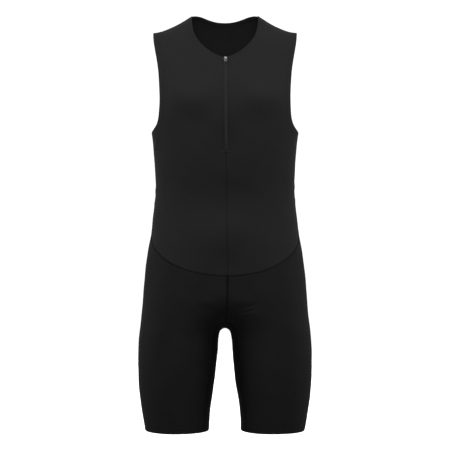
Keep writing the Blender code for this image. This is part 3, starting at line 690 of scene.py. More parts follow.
def cloth_layers(grid, borders):
    """Outer and inner surface of a panel whose borders are pairs of a line and a Border."""
    normal = form_normal(grid)
    outer = relief(grid)
    thickness = np.full(grid.shape[:2], MIDDLE_THICKNESS)
    roll = np.zeros(grid.shape[:2])
    for line, border in borders:
        distance = distance_to(grid, line)
        turning = border.turning
        near = 1.0 - smooth_step(turning - TURNING_STEP, turning + TURNING_STEP, distance)
        turned = MIDDLE_THICKNESS + (border.thickness - MIDDLE_THICKNESS) * near
        thickness = np.maximum(thickness, turned)
        for inset in border.stitched:
            outer = outer - border.dent * np.exp(-(((distance - inset) / DENT_WIDTH) ** 2))
        roll = np.maximum(roll, rolled(distance, border.thickness))
    roll = np.minimum(roll, thickness / 2.0 - ROLL_GAP)
    top = grid + normal * (outer - roll)[..., None]
    bottom = grid + normal * (outer + roll - thickness)[..., None]
    return top, bottom


def placed(name, data):
    """A new object of this data, in the scene."""
    made = bpy.data.objects.new(name, data)
    bpy.context.scene.collection.objects.link(made)
    return made


def grid_faces(rows, columns):
    """The points' numbers in a grid, and the four-sided faces between them."""
    number = np.arange(rows * columns).reshape(rows, columns)
    corners = [number[:-1, :-1], number[:-1, 1:], number[1:, 1:], number[1:, :-1]]
    return number, np.stack(corners, axis=-1).reshape(-1, 4)


def mesh_object(name, points, faces, uvs=None):
    """A smooth mesh from arrays of points and faces, in the scene."""
    mesh = bpy.data.meshes.new(name)
    mesh.from_pydata(points.tolist(), [], faces if isinstance(faces, list) else faces.tolist())
    if uvs is not None:
        layer = mesh.uv_layers.new(name="cloth")
        corners = np.empty(len(mesh.loops), np.int32)
        mesh.loops.foreach_get("vertex_index", corners)
        layer.data.foreach_set("uv", uvs[corners].astype(np.float32).ravel())
    mesh.shade_smooth()
    return placed(name, mesh)


def run_along(grid, axis):
    """Distance along the grid's lines from its first row or column."""
    steps = np.linalg.norm(np.diff(grid, axis=axis), axis=-1)
    far = np.cumsum(steps, axis=axis)
    return np.concatenate([np.zeros_like(np.take(far, [0], axis=axis)), far], axis=axis)


def closed_strip(name, top, bottom):
    """A closed thin mesh between two grids of points, the first of which faces out."""
    rows, columns = top.shape[:2]
    number, quads = grid_faces(rows, columns)
    rim = np.concatenate([number[0, :-1], number[:-1, -1], number[-1, :0:-1], number[:0:-1, 0]])
    after = np.roll(rim, -1)
    shift = rows * columns
    sides = np.stack([rim, rim + shift, after + shift, after], axis=-1)
    points = np.concatenate([top.reshape(-1, 3), bottom.reshape(-1, 3)])
    faces = np.concatenate([quads, quads[:, ::-1] + shift, sides])
    corner = quads[len(quads) // 2]
    facing = np.cross(points[corner[1]] - points[corner[0]], points[corner[2]] - points[corner[1]])
    if facing @ (points[corner[0]] - points[corner[0] + shift]) < 0.0:
        faces = faces[:, ::-1]
    uvs = np.stack([run_along(top, 1), run_along(top, 0)], axis=-1).reshape(-1, 2)
    return mesh_object(name, points, faces, np.concatenate([uvs, uvs]))


def shell(name, grid, borders):
    """A closed thin shell on the form through a grid of points."""
    return closed_strip(name, *cloth_layers(grid, borders))


# Thread
THREAD_TAPER = 0.35  # of its radius, where it goes into the cloth
THREAD_RADIUS = 0.00017
COVER_RADIUS = THREAD_RADIUS * 1.15
STITCH_PITCH = 0.0027
SEAM_ROW = 0.0016
COVER_HALF = 0.0024
COVER_PITCH = 0.0011
Line = namedtuple("Line", "points along normal beside")


def line_on_form(points, beside=0.0, pitch=0.003, skip=0.0):
    """A line on the creased cloth beside these points, resampled at a pitch, with its directions."""
    points = np.asarray(points, float)
    if beside:
        along = unit(np.gradient(points, axis=0))
        points = settled(points + np.cross(form_normal(points), along) * beside)
    lengths = np.linalg.norm(np.diff(points, axis=0), axis=1)
    run = np.concatenate([[0.0], np.cumsum(lengths)])
    wanted = np.arange(skip, run[-1] - skip, pitch)
    points = np.stack([np.interp(wanted, run, points[:, i]) for i in range(3)], axis=-1)
    normal = form_normal(points)
    along = unit(np.gradient(points, axis=0))
    along = unit(along - normal * (along * normal).sum(axis=-1, keepdims=True))
    points = points + normal * relief(points)[:, None]
    return Line(points, along, normal, np.cross(normal, along))


def tube_template(path, radius, around=6):
    """Rings round a short path given in (along, beside, up), for copies along a line."""
    path = np.array(path, float)
    along = unit(np.gradient(path, axis=0))
    up = np.array([0.0, 0.0, 1.0])
    across = unit(np.cross(along, up))
    up = np.cross(across, along)
    turn = np.linspace(0.0, 2.0 * math.pi, around, endpoint=False)
    ring = across[:, None] * np.cos(turn)[:, None] + up[:, None] * np.sin(turn)[:, None]
    taper = np.ones(len(path))
    taper[[0, -1]] = THREAD_TAPER
    points = path[:, None] + ring * radius * taper[:, None, None]
    number = np.arange(len(path) * around).reshape(len(path), around)
    after = np.roll(number, -1, axis=1)
    faces = np.stack([number[:-1], after[:-1], after[1:], number[1:]], axis=-1).reshape(-1, 4)
    return points.reshape(-1, 3), faces.tolist() + [number[0].tolist(), number[-1, ::-1].tolist()]


class Threads:
    """Copies of short tubes, gathered into one mesh."""

    def __init__(self):
        self.points = []
        self.faces = []
        self.count = 0

    def sew(self, line, template):
        """One copy at each point of the line."""
        points, faces = template
        copies = (
            line.points[:, None]
            + line.along[:, None] * points[:, 0, None]
            + line.beside[:, None] * points[:, 1, None]
            + line.normal[:, None] * points[:, 2, None]
        )
        self.points.append(copies.reshape(-1, 3))
        for number in range(len(line.points)):
            start = self.count + number * len(points)
            self.faces += [[start + corner for corner in face] for face in faces]
        self.count += copies.shape[0] * copies.shape[1]

    def cover(self, border, skip=0.0):
        """Cover stitches over a seam."""
        self.sew(line_on_form(border, pitch=COVER_PITCH, skip=skip), COVER)

    def rows(self, border, turn, edge, skip=0.0):
        """Rows of stitches along a turned edge. turn is 1 if the cloth is left of the border's way."""
        for inset in edge.stitched:
            self.sew(line_on_form(border, turn * inset, STITCH_PITCH, skip), STITCH)

    def made(self, name):
        return mesh_object(name, np.concatenate(self.points), self.faces)


STITCH = tube_template(
    [
        (-0.00105, 0.0, -0.00040),
        (-0.00070, 0.0, -0.00012),
        (0.0, 0.0, -0.00004),
        (0.00070, 0.0, -0.00012),
        (0.00105, 0.0, -0.00040),
    ],
    THREAD_RADIUS,
)
COVER = tube_template(
    [
        (-0.0003, -COVER_HALF, -0.00050),
        (-0.0002, -0.0019, -0.00008),
        (0.0, -0.0009, 0.00004),
        (0.0002, 0.0, -0.00010),
        (0.0004, 0.0009, 0.00004),
        (0.0006, 0.0019, -0.00008),
        (0.0007, COVER_HALF, -0.00050),
    ],
    COVER_RADIUS,
)


WHOLE_TURN = 2.0 * math.pi

# Sockets that are reached by their number
OBJECT_PLACE = 3
MIX_SHARE, MIX_FIRST, MIX_SECOND = 0, 6, 7
MIX_COLOUR = 2


class Signal:
    """A socket's value in a material, with arithmetic that adds Math nodes."""

    def __init__(self, material, socket):
        self.material = material
        self.socket = socket

    def math(self, operation, *others):
        return self.material.add("ShaderNodeMath", {"operation": operation}, [self, *others])

    def __add__(self, other):
        return self.math("ADD", other)

    def __mul__(self, other):
        return self.math("MULTIPLY", other)

    __radd__ = __add__
    __rmul__ = __mul__


class Finish:
    """One Principled material, built from a node type, its settings and its inputs at a time."""

    def __init__(self, name, **fixed):
        self.data = bpy.data.materials.new(name)
        self.data.use_nodes = True
        self.nodes = self.data.node_tree.nodes
        self.surface = self.nodes["Principled BSDF"]
        for socket, value in fixed.items():
            self.feed(socket.replace("_", " ").title().replace("Ior", "IOR"), value)

    def feed(self, socket, value):
        """A number, colour or Signal into one of the shader's sockets."""
        self.put(self.surface.inputs[socket], value)

    def put(self, socket, value):
        if isinstance(value, Signal):
            self.data.node_tree.links.new(value.socket, socket)
        else:
            socket.default_value = value

    def add(self, kind, settings=None, inputs=(), output=0):
        """Any other node, as the Signal of one of its outputs."""
        node = self.nodes.new(kind)
        for name, value in (settings or {}).items():
            setattr(node, name, value)
        pairs = inputs.items() if isinstance(inputs, dict) else enumerate(inputs)
        for socket, value in pairs:
            self.put(node.inputs[socket], value)
        return Signal(self, node.outputs[output])

    def place(self):
        """The place on the object, in metres."""
        return self.add("ShaderNodeTexCoord", output=OBJECT_PLACE)

    def noise(self, scale, detail, **more):
        inputs = {"Vector": self.place(), "Scale": scale, "Detail": detail, **more}
        return self.add("ShaderNodeTexNoise", inputs=inputs)

    def parts(self, vector):
        """X, Y and Z of a vector."""
        node = self.add("ShaderNodeSeparateXYZ", inputs=[vector]).socket.node
        return [Signal(self, socket) for socket in node.outputs]

    def between(self, share, dark, light):
        """A colour between two."""
        inputs = {MIX_SHARE: share, MIX_FIRST: (*dark, 1.0), MIX_SECOND: (*light, 1.0)}
        return self.add("ShaderNodeMix", {"data_type": "RGBA"}, inputs, MIX_COLOUR)

    def bump(self, height, distance, strength):
        """A Bump node on the shader's normal."""
        inputs = {"Height": height, "Distance": distance, "Strength": strength}
        self.feed("Normal", self.add("ShaderNodeBump", inputs=inputs))


Knit = namedtuple("Knit", "name dark light roughness sheen wale course depth")
KNITS = table_of(
    Knit,
    ("body_knit", (0.016, 0.016, 0.0165), (0.0225, 0.0225, 0.023), 0.76, 0.05, 0.0013, 0.001, 0.00012),
    ("short_knit", (0.0085, 0.0084, 0.0087), (0.0125, 0.0124, 0.0128), 0.66, 0.04, 0.001, 0.0008, 0.00008),
    # the gusset: a darker copy of the shorts' knit, with painted shade for the shade between the legs
    ("gusset_knit", (0.006, 0.006, 0.0062), (0.0088, 0.0088, 0.009), 0.70, 0.02, 0.001, 0.0008, 0.00008),
)
KNIT_GLOSS = 0.14
KNIT_SHEEN = (0.62, 0.63, 0.66, 1.0)
BROAD_SCALE, FINE_SCALE = 26.0, 900.0
BROAD_SHARE, FINE_SHARE = 0.65, 0.35
WALE_SHARE, COURSE_SHARE = 0.5, 0.35  # of the loops' height
COURSE_BEND = 0.9  # of the courses, by the wales that they cross
LOOP_TONE = 0.12
KNIT_SPREAD = 0.16  # of the roughness
LOOP_BUMP, FUZZ_BUMP = 0.5, 0.7
KNIT_BUMP = 0.55

Tone = namedtuple("Tone", "dark light")
THREAD_TONE = Tone((0.004, 0.004, 0.0045), (0.008, 0.008, 0.009))
TAPE_TONE = Tone((0.011, 0.010, 0.011), (0.019, 0.017, 0.019))
COIL_TONE = Tone((0.026, 0.022, 0.026), (0.042, 0.036, 0.042))
TWIST_SCALE = 1400.0
CLOUD_SCALE = 300.0
WEAVE_SMOOTHEST, WEAVE_SPREAD = 0.62, 0.15
WEAVE_DEPTH, WEAVE_BUMP = 0.0001, 0.6
COIL_SMOOTHEST, COIL_SPREAD = 0.32, 0.2
MARK_SPREAD = 0.22
MARK_DEPTH, MARK_BUMP = 0.00002, 0.35


def knit_finish(knit):
    """Stretch knit: fine wales and courses, a soft unevenness of tone, and a fuzz at the edges."""
    finish = Finish(
        knit.name,
        sheen_weight=knit.sheen,
        sheen_roughness=0.42,
        specular_ior_level=KNIT_GLOSS,
    )
    finish.feed("Sheen Tint", KNIT_SHEEN)
    across, down, _ = finish.parts(finish.add("ShaderNodeUVMap", {"uv_map": "cloth"}))
    wales = (across * (WHOLE_TURN / knit.wale)).math("SINE")
    courses = (down * (WHOLE_TURN / knit.course) + wales * COURSE_BEND).math("SINE")
    loops = wales * WALE_SHARE + courses * COURSE_SHARE
    broad = finish.noise(BROAD_SCALE, 3.0)
    fine = finish.noise(FINE_SCALE, 2.0)
    mixed = broad * BROAD_SHARE + fine * FINE_SHARE
    finish.feed("Base Color", finish.between(mixed + loops * LOOP_TONE, knit.dark, knit.light))
    finish.feed("Roughness", mixed * KNIT_SPREAD + (knit.roughness - KNIT_SPREAD / 2.0))
    finish.bump(loops * LOOP_BUMP + fine * FUZZ_BUMP, knit.depth, KNIT_BUMP)
    return finish.data


def thread_finish():
    """Matt twisted thread."""
    finish = Finish("black_thread", roughness=0.6, sheen_weight=0.03, specular_ior_level=0.12)
    finish.feed("Base Color", finish.between(finish.noise(TWIST_SCALE, 2.0), *THREAD_TONE))
    return finish.data


def tape_finish(warp_pitch=0.0009, weft_pitch=0.0007):
    """Plain-woven tape."""
    finish = Finish("woven_tape", sheen_weight=0.05, sheen_roughness=0.5, specular_ior_level=0.12)
    across, _, up = finish.parts(finish.place())
    warp = (across * (WHOLE_TURN / warp_pitch)).math("SINE")
    weft = (up * (WHOLE_TURN / weft_pitch)).math("SINE")
    weave = warp * weft * 0.5 + 0.5
    finish.feed("Base Color", finish.between(weave, *TAPE_TONE))
    finish.feed("Roughness", weave * WEAVE_SPREAD + WEAVE_SMOOTHEST)
    finish.bump(weave, WEAVE_DEPTH, WEAVE_BUMP)
    return finish.data


def coil_finish():
    """Slightly glossy nylon."""
    finish = Finish("nylon_coil", specular_ior_level=0.30)
    cloud = finish.noise(CLOUD_SCALE, 3.0)
    finish.feed("Base Color", finish.between(cloud, *COIL_TONE))
    finish.feed("Roughness", cloud * COIL_SPREAD + COIL_SMOOTHEST)
    return finish.data


def metal_finish(name, dark, light, roughness, scale):
    """Plated metal with fine handling marks."""
    finish = Finish(name, metallic=1.0)
    marks = finish.noise(scale, 5.0, Roughness=0.7)
    finish.feed("Base Color", finish.between(marks, dark, light))
    finish.feed("Roughness", marks * MARK_SPREAD + (roughness - MARK_SPREAD / 2.0))
    finish.bump(marks, MARK_DEPTH, MARK_BUMP)
    return finish.data


body_knit, short_knit, gusset_knit = (knit_finish(knit) for knit in KNITS)
black_thread = thread_finish()
woven_tape = tape_finish()
nylon_coil = coil_finish()
bright_plating = metal_finish("bright_plating", (0.38, 0.39, 0.395), (0.52, 0.53, 0.54), 0.27, 900.0)
dark_lacquer = metal_finish("dark_lacquer", (0.070, 0.095, 0.105), (0.13, 0.165, 0.175), 0.40, 700.0)


def dress(piece, material, slot_name, body, *nodes):
    """Finish, body and the CAD nodes that the piece stands for. The material slot's name is not used."""
    piece.data.materials.clear()
    piece.data.materials.append(material)
    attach(piece, body)
    if nodes:
        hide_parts(*nodes)
    return piece


armpit_row = TRUNK_ROWS_BELOW
neck_row = TRUNK_ROWS_BELOW + FRONT_ROWS_MIDDLE
back_columns = np.concatenate(
    [
        np.linspace(0.0, BACK_NECK_SHARE, BACK_HALF_COLUMNS // 2 + 1)[:-1],
        BACK_NECK_SHARE
        + (1.0 - BACK_NECK_SHARE) * shares(BACK_HALF_COLUMNS // 2, close_at_start=False),
    ]
)
back_grid = np.concatenate(
    [back_half(-1, back_columns)[:, :0:-1], back_half(1, back_columns)], axis=1
)
neck_first = BACK_HALF_COLUMNS - BACK_HALF_COLUMNS // 2
neck_last = BACK_HALF_COLUMNS + BACK_HALF_COLUMNS // 2
front_grids = {side: front_grid(side) for side in (-1, 1)}
leg_grids = {side: leg_grid(side) for side in (-1, 1)}
gusset_points = gusset_grid()


def slot_row(grid):
    """The front's row at which the zip's slot ends."""
    drop = NECK_POINT_HEIGHT - grid[:neck_row, 0, 2]
    return int(np.argmin(np.abs(drop - ZIP_BOTTOM_DROP)))


def front_borders(grid):
    end = slot_row(grid)
    return (
        (grid[0], SEAM),
        (grid[: armpit_row + 1, -1], SEAM),
        (grid[armpit_row:, -1], FREE),
        (grid[-1], SEAM),
        (grid[neck_row:, 0], NECK_EDGE),
        (grid[end : neck_row + 1, 0], ZIP_EDGE),
        (grid[: end + 1, 0], SEAM),
    )


BACK_BORDERS = (
    (back_grid[0], SEAM),
    (back_grid[-1, : neck_first + 1], SEAM),
    (back_grid[-1, neck_first : neck_last + 1], NECK_EDGE),
    (back_grid[-1, neck_last:], SEAM),
    (back_grid[: armpit_row + 1, 0], SEAM),
    (back_grid[armpit_row:, 0], FREE),
    (back_grid[: armpit_row + 1, -1], SEAM),
    (back_grid[armpit_row:, -1], FREE),
)


def leg_borders(grid):
    return ((grid[0], SEAM), (grid[-1], HEM_EDGE), (grid[:, 0], SEAM), (grid[:, -1], SEAM))


for side, word in ((-1, "right"), (1, "left")):
    grid = front_grids[side]
    cloth = shell(f"front_{word}_cloth", grid, front_borders(grid))
    dress(cloth, body_knit, "body_jersey", "garment", f"front_{word}")
    grid = leg_grids[side]
    cloth = shell(f"leg_{word}_cloth", grid, leg_borders(grid))
    dress(cloth, short_knit, "short_jersey", "garment", f"leg_{word}")
back = shell("back_cloth", back_grid, BACK_BORDERS)
dress(back, body_knit, "body_jersey", "garment", "back")
GUSSET_BORDERS = (
    (gusset_points[0], HEM_EDGE),
    (gusset_points[-1], HEM_EDGE),
    (gusset_points[:, 0], SEAM),
    (gusset_points[:, -1], SEAM),
)
gusset = shell("gusset_cloth", gusset_points, GUSSET_BORDERS)
# the shorts' knit made darker, with painted shade for the shade between the legs
dress(gusset, gusset_knit, "short_jersey", "garment", "gusset")


# How far sewing stops short of a line's ends
AT_SEAM = 0.001
AT_WAIST = 0.002
AT_TIP = 0.003
AT_CORNER = 0.004


def sew_everything():
    """Cover stitches over the seams, and rows of stitches along the turned edges."""
    body = Threads()
    legs = Threads()
    for side, grid in front_grids.items():
        end = slot_row(grid)
        body.cover(grid[0])
        body.cover(grid[: armpit_row + 1, -1], AT_SEAM)
        body.cover(grid[-1], AT_TIP)
        body.rows(grid[neck_row:, 0], -side, NECK_EDGE, AT_CORNER)
        body.rows(grid[armpit_row:, -1], side, FREE, AT_CORNER)
        body.rows(grid[end : neck_row + 1, 0], -side, ZIP_EDGE, AT_CORNER)
        centre_seam = grid[: end - 2, 0]
        body.sew(line_on_form(centre_seam, -side * SEAM_ROW, STITCH_PITCH, AT_TIP), STITCH)
    body.cover(back_grid[0])
    body.rows(back_grid[-1, neck_first : neck_last + 1], 1, NECK_EDGE, AT_CORNER)
    body.rows(back_grid[armpit_row:, 0], 1, FREE, AT_CORNER)
    body.rows(back_grid[armpit_row:, -1], -1, FREE, AT_CORNER)
    for side, grid in leg_grids.items():
        for column_at in (0, -1):
            legs.cover(grid[HIP_ROWS:, column_at], AT_SEAM)
        if side > 0:
            for column_at in (0, -1):
                legs.cover(grid[: HIP_ROWS + 1, column_at], AT_WAIST)
        legs.rows(grid[-1], side, HEM_EDGE)
    legs.rows(gusset_points[0], 1, HEM_EDGE)
    legs.rows(gusset_points[-1], -1, HEM_EDGE)
    dress(body.made("body_thread"), black_thread, "body_jersey", "garment")
    dress(legs.made("leg_thread"), black_thread, "short_jersey", "garment")


sew_everything()


# Zip
CHAIN_HALF = 0.0031
TOOTH_PITCH = 0.00118
TOOTH_RADIUS = 0.00042
TAPE_INNER = 0.0003
TAPE_OUTER = 0.0130
TAPE_SUNK = 0.0021
TAPE_THICKNESS = 0.0008
TAPE_PAST_END = 0.012
TAPE_SHORT = 0.004  # of the neckline
TAPE_STEP = 0.002
HINGE_FROM_TOP = 0.0045
SHARP_ANGLE = 38.0  # degrees between faces from which an edge of metal is rounded
CHAIN_START = 0.0036  # below the zip's top
CHAIN_SHORT = 0.0030  # of the slot's end
CHAIN_THREAD_PITCH = 0.0022
CHAIN_THREAD_RADIUS = 0.0002
CHAIN_THREAD_AT = 0.0012  # to each side of the middle
TACK_HALF = 0.0125
TACK_ABOVE_END = 0.0024
TACK_PITCH = 0.0011
TACK_RADIUS = 0.0003


def zip_line(start, end, pitch):
    """A line down the zip, from one drop to another."""
    drop = np.arange(start, end, pitch)
    across = front_drift(drop)
    points = as_points(across, form_y(across, drop, -1), drop)
    normal = form_normal(points)
    along = unit(np.gradient(points, axis=0))
    return Line(points, along, normal, np.cross(normal, along))


def zip_tape(name, left, right):
    """A woven tape behind the cloth, as a closed thin strip."""
    line = zip_line(ZIP_TOP_DROP + TAPE_SHORT, ZIP_BOTTOM_DROP + TAPE_PAST_END, TAPE_STEP)
    places = np.linspace(left, right, 9)
    drop = NECK_POINT_HEIGHT - line.points[:, None, 2] + 0.0 * places
    across = line.points[:, None, 0] + places
    grid = as_points(across, form_y(across, drop, -1), drop)
    top = grid - form_normal(grid) * TAPE_SUNK
    tape = closed_strip(name, top, top - form_normal(grid) * TAPE_THICKNESS)
    return tape


def zip_chain():
    """Two rows of coil turns that mesh, and the thread that holds each."""
    coil = Threads()
    start = ZIP_TOP_DROP + CHAIN_START
    end = ZIP_BOTTOM_DROP - CHAIN_SHORT
    for side in (-1.0, 1.0):
        line = zip_line(start + (TOOTH_PITCH / 2.0 if side > 0 else 0.0), end, TOOTH_PITCH)
        path = [
            (0.00012, side * CHAIN_HALF, -0.0008),
            (0.00006, side * (CHAIN_HALF - 0.0002), -0.0002),
            (0.0, side * 0.0021, 0.0001),
            (0.0, side * 0.0004, -0.00012),
            (0.0, side * -0.0005, -0.0003),
            (0.0, side * -0.0008, -0.0009),
        ]
        coil.sew(line, tube_template(path, TOOTH_RADIUS, around=8))
        run = [
            (-0.0012, side * CHAIN_THREAD_AT, 0.0001),
            (0.0, side * CHAIN_THREAD_AT, 0.0003),
            (0.0012, side * CHAIN_THREAD_AT, 0.0001),
        ]
        coil.sew(zip_line(start, end, CHAIN_THREAD_PITCH), tube_template(run, CHAIN_THREAD_RADIUS))
    return coil.made("zip_coil")


def zip_tack():
    """The row of tight stitches across the chain's lower end."""
    tack = Threads()
    drop = np.full(17, ZIP_BOTTOM_DROP - TACK_ABOVE_END)
    across = front_drift(drop) + np.linspace(-TACK_HALF, TACK_HALF, len(drop))
    line = line_on_form(as_points(across, form_y(across, drop, -1), drop), pitch=TACK_PITCH)
    path = [
        (0.0, -0.0009, -0.0003),
        (0.0001, -0.0004, 0.00012),
        (0.0002, 0.0004, 0.00012),
        (0.0003, 0.0009, -0.0003),
    ]
    tack.sew(line, tube_template(path, TACK_RADIUS))
    return tack.made("zip_tack")


def zip_frame():
    """Matrix of the slider's frame, at the hinge's drop on the front."""
    drop = np.array(ZIP_TOP_DROP + HINGE_FROM_TOP)
    across = front_drift(drop)
    point = as_points(across, form_y(across, drop, -1), drop)
    normal = form_normal(point)
    out = Vector((0.0, normal[1], normal[2])).normalized()
    right = Vector((1.0, 0.0, 0.0))
    turned = Matrix((right, out.cross(right), out)).transposed().to_4x4()
    return Matrix.Translation(point.tolist()) @ turned


def plate(shape, outline, low, high, hole=None):
    """An upright prism of an outline, with a hole of as many points if it has one, in a bmesh."""
    rings = [
        [shape.verts.new((x, y, z)) for x, y in line]
        for line in (outline, hole or ())
        for z in (low, high)
    ]
    lower, upper, hole_lower, hole_upper = rings
    walls = [(lower, upper)]
    if hole is not None:
        walls += [(hole_upper, hole_lower), (upper, hole_upper), (hole_lower, lower)]
    for first, second in walls:
        for i in range(len(outline)):
            j = (i + 1) % len(outline)
            shape.faces.new((first[i], first[j], second[j], second[i]))
    if hole is None:
        shape.faces.new(lower[::-1])
        shape.faces.new(upper)


def strap(shape, path, half_width, half_height, flat=0.6):
    """A rounded strap along a path in the frame's Y and Z, in a bmesh."""
    profile = [(-1.0, -flat), (-1.0, flat), (-flat, 1.0), (flat, 1.0)]
    profile += [(1.0, flat), (1.0, -flat), (flat, -1.0), (-flat, -1.0)]
    path = np.array(path, float)
    along = unit(np.gradient(path, axis=0))
    rings = [
        [
            shape.verts.new((u * half_width, y - dz * v * half_height, z + dy * v * half_height))
            for u, v in profile
        ]
        for (y, z), (dy, dz) in zip(path, along)
    ]
    for first, second in zip(rings, rings[1:]):
        for i in range(len(profile)):
            j = (i + 1) % len(profile)
            shape.faces.new((first[i], first[j], second[j], second[i]))
    shape.faces.new(rings[0][::-1])
    shape.faces.new(rings[-1])


def rounded(corners, radius, steps=4):
    """A closed outline with its corners rounded."""
    done = []
    for i, place in enumerate(corners):
        corner = Vector(place)
        start = corner + (Vector(corners[i - 1]) - corner).normalized() * radius
        end = corner + (Vector(corners[(i + 1) % len(corners)]) - corner).normalized() * radius
        for step in range(steps + 1):
            share = step / steps
            done.append(tuple(start.lerp(corner, share).lerp(corner.lerp(end, share), share)))
    return done


Oblong = namedtuple("Oblong", "half_width low high rounding")


def oblong(place):
    """The outline of a rounded oblong."""
    width, low, high, rounding = place
    return rounded([(-width, low), (width, low), (width, high), (-width, high)], rounding)


def bevelled(name, shape, width):
    """An object from a bmesh, with rounded edges."""
    bmesh.ops.recalc_face_normals(shape, faces=shape.faces)
    mesh = bpy.data.meshes.new(name)
    shape.to_mesh(mesh)
    shape.free()
    mesh.shade_smooth()
    made = placed(name, mesh)
    rounding = made.modifiers.new("rounding", "BEVEL")
    rounding.width = width
    rounding.segments = 3
    rounding.limit_method = "ANGLE"
    rounding.angle_limit = math.radians(SHARP_ANGLE)
    rounding.harden_normals = True
    return made


# Slider and pull, in the slider's frame: X across, Y up the zip and Z out of the cloth
SLIDER_OUTLINE = (
    (-0.0030, 0.0030),
    (-0.0019, 0.0045),
    (0.0019, 0.0045),
    (0.0030, 0.0030),
    (0.0027, -0.0055),
    (-0.0027, -0.0055),
)
SLIDER_NECK = ((-0.0013, 0.0044), (0.0013, 0.0044), (0.0009, 0.0020), (-0.0009, 0.0020))
SLIDER_FLANGE = ((-0.0030, 0.0026), (-0.0025, 0.0026), (-0.0022, -0.0052), (-0.0027, -0.0052))
SLIDER_CORNER = 0.0009
NECK_CORNER = 0.0004
SLIDER_EDGE = 0.00022
PLATE_LOW, PLATE_HIGH = 0.00035, 0.00145
UNDER_LOW, UNDER_HIGH = -0.0045, -0.0034
FLANGE_DEPTH = 0.0004
SUNK_IN = 0.0003  # of a shape, into the plate that it stands on
HINGE_HEIGHT = 0.00225
CROWN_HALF = 0.0029
CROWN_RISE = 0.0024
CROWN_SQUARENESS = 0.7
CROWN_SUNK = 0.00015
CROWN_HALF_WIDTH, CROWN_HALF_THICK = 0.0007, 0.0004
EYE_HALF_THICK = 0.00045
TAB_HALF_THICK = 0.0005
TAB_SUNK = 0.00025  # of the face inside its rim
EYE = Oblong(0.0020, -0.0036, 0.00045, 0.0004)
EYE_HOLE = Oblong(0.00115, -0.0033, -0.00045, 0.0003)
TAB = Oblong(0.0025, -0.0085, -0.0034, 0.0007)
INSIDE_RIM = Oblong(0.0018, -0.0078, -0.0041, 0.0005)
TAB_FACE = Oblong(0.0019, -0.0079, -0.0040, 0.0005)
TAB_EDGE = 0.0001


def zip_slider():
    """Two plates, the neck between them, the upper plate's flanges and the crown."""
    shape = bmesh.new()
    outline = rounded(SLIDER_OUTLINE, SLIDER_CORNER)
    plate(shape, outline, PLATE_LOW, PLATE_HIGH)
    plate(shape, outline, UNDER_LOW, UNDER_HIGH)
    plate(shape, rounded(SLIDER_NECK, NECK_CORNER), UNDER_HIGH - SUNK_IN, PLATE_LOW + SUNK_IN)
    for side in (1.0, -1.0):
        flange = [(side * x, y) for x, y in SLIDER_FLANGE]
        plate(shape, flange, PLATE_LOW - FLANGE_DEPTH, PLATE_LOW + SUNK_IN)
    foot = PLATE_HIGH - CROWN_SUNK
    arch = [
        (-CROWN_HALF * math.cos(turn), foot + CROWN_RISE * math.sin(turn) ** CROWN_SQUARENESS)
        for turn in np.linspace(0.0, math.pi, 13)
    ]
    strap(shape, arch, CROWN_HALF_WIDTH, CROWN_HALF_THICK)
    return bevelled("zip_slider_body", shape, SLIDER_EDGE)


def zip_pull():
    """The eye round the crown and the tab with its raised rim, about the hinge."""
    shape = bmesh.new()
    plate(shape, oblong(EYE), -EYE_HALF_THICK, EYE_HALF_THICK, oblong(EYE_HOLE))
    plate(shape, oblong(TAB), -TAB_HALF_THICK, TAB_HALF_THICK, oblong(INSIDE_RIM))
    plate(shape, oblong(TAB_FACE), -SUNK_IN, TAB_HALF_THICK - TAB_SUNK)
    return bevelled("zip_pull_tab", shape, TAB_EDGE)


for word, left, right in (("right", -TAPE_OUTER, -TAPE_INNER), ("left", TAPE_INNER, TAPE_OUTER)):
    tape = zip_tape(f"zip_tape_{word}_cloth", left, right)
    dress(tape, woven_tape, "zip_tape", "garment", f"zip_tape_{word}")
dress(zip_chain(), nylon_coil, "zip_coil", "garment", "zip_chain")
dress(zip_tack(), nylon_coil, "zip_coil", "garment")
slider = zip_slider()
slider.matrix_world = zip_frame()
pull = zip_pull()
pull.matrix_world = zip_frame() @ Matrix.Translation((0.0, 0.0, HINGE_HEIGHT))
dress(slider, bright_plating, "slider_metal", "garment", "zip_slider")
dress(pull, dark_lacquer, "pull_metal", "pull", "zip_pull")


# Stage, camera and lights
PHOTO_WIDTH = 0.981  # of the view at the garment
CAMERA_AWAY = 3.2
CAMERA_DROP = 0.458
FLOOR_HEIGHT = -1.02
BACKDROP_AWAY = 5.5
BACKDROP_BEND = 1.2
BACKDROP_TOP = 5.0
BACKDROP_GLOW = 0.93
WORLD_LIGHT = 0.12
Lamp = namedtuple("Lamp", "name place aim size power")
LAMPS = table_of(
    Lamp,
    ("front", (0.0, -3.4, 0.3), (0.0, 0.0, -0.40), (1.6, 1.6), 38.0),
    ("back", (0.0, 3.4, 0.4), (0.0, 0.0, -0.40), (1.6, 1.6), 42.0),
    ("top", (0.0, -0.5, 2.4), (0.0, 0.0, -0.25), (1.8, 1.8), 25.0),
)
PAIRED_LAMPS = table_of(
    Lamp,
    ("strip", (2.0, -0.3, 0.1), (0.0, 0.0, -0.40), (0.6, 2.2), 9.5),
    ("back_strip", (1.9, 0.9, 0.3), (0.0, 0.0, -0.40), (0.6, 2.2), 2.6),
    ("high_side", (1.7, -0.6, 1.4), (0.0, 0.0, -0.30), (1.0, 1.0), 6.5),
    ("high_back", (1.5, 2.0, 1.2), (0.0, 0.0, -0.30), (1.0, 1.0), 9.0),
)


def area_light(name, place, aim, size, power):
    """A soft lamp at a place that points at another."""
    data = bpy.data.lights.new(name, "AREA")
    data.shape = "RECTANGLE"
    data.size, data.size_y = size
    data.energy = power
    lamp = placed(name, data)
    lamp.location = place
    lamp.rotation_euler = (Vector(aim) - Vector(place)).to_track_quat("-Z", "Y").to_euler()
    lamp.visible_camera = False


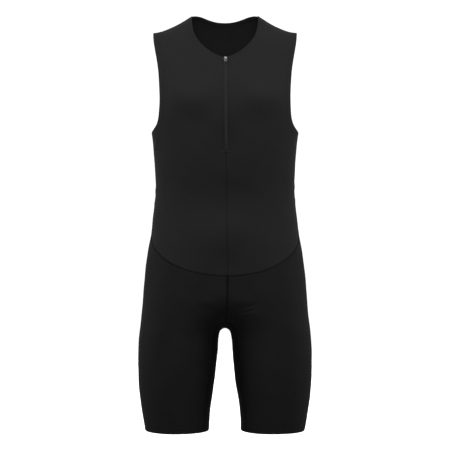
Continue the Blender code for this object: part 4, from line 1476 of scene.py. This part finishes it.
def round_backdrop():
    """A pale round floor that curves up into a wall all the way round."""
    turn = np.linspace(0.0, math.pi / 2.0, 13)
    flat = BACKDROP_AWAY - BACKDROP_BEND
    profile = [(0.001, 0.0), (flat, 0.0)]
    profile += [
        (flat + BACKDROP_BEND * math.sin(t), BACKDROP_BEND * (1.0 - math.cos(t))) for t in turn[1:]
    ]
    profile = np.array([*profile, (BACKDROP_AWAY, BACKDROP_TOP)])
    around = np.linspace(0.0, 2.0 * math.pi, 65)
    across = profile[:, :1] * np.cos(around)
    y = profile[:, :1] * np.sin(around)
    z = profile[:, 1:] + FLOOR_HEIGHT + 0.0 * around
    faces = grid_faces(len(profile), len(around))[1]
    made = mesh_object("backdrop", np.stack([across, y, z], axis=-1).reshape(-1, 3), faces)
    white = Finish("pale_paper", roughness=0.9)
    white.feed("Base Color", (0.80, 0.80, 0.80, 1.0))
    white.feed("Emission Color", (1.0, 1.0, 1.0, 1.0))
    white.feed("Emission Strength", BACKDROP_GLOW)
    made.data.materials.append(white.data)
    made.visible_diffuse = False
    made.visible_glossy = False
    made.visible_shadow = False


round_backdrop()
world = bpy.data.worlds.new("studio")
world.use_nodes = True
world.node_tree.nodes["Background"].inputs["Color"].default_value = (1.0, 1.0, 1.0, 1.0)
world.node_tree.nodes["Background"].inputs["Strength"].default_value = WORLD_LIGHT
bpy.context.scene.world = world
for lamp in LAMPS:
    area_light(*lamp)
for lamp in PAIRED_LAMPS:
    for side, word in ((-1.0, "left"), (1.0, "right")):
        area_light(f"{word}_{lamp.name}", (side * lamp.place[0], *lamp.place[1:]), *lamp[2:])

camera_data = bpy.data.cameras.new("photo_camera")
camera_data.sensor_width = 36.0
camera_data.lens = camera_data.sensor_width / PHOTO_WIDTH * CAMERA_AWAY
camera = placed("photo_camera", camera_data)
camera.location = (0.0, -CAMERA_AWAY, NECK_POINT_HEIGHT - CAMERA_DROP)
camera.rotation_euler = (math.pi / 2.0, 0.0, 0.0)
bpy.context.scene.camera = camera
bpy.context.scene.view_settings.view_transform = "Standard"

bpy.context.view_layer.update()
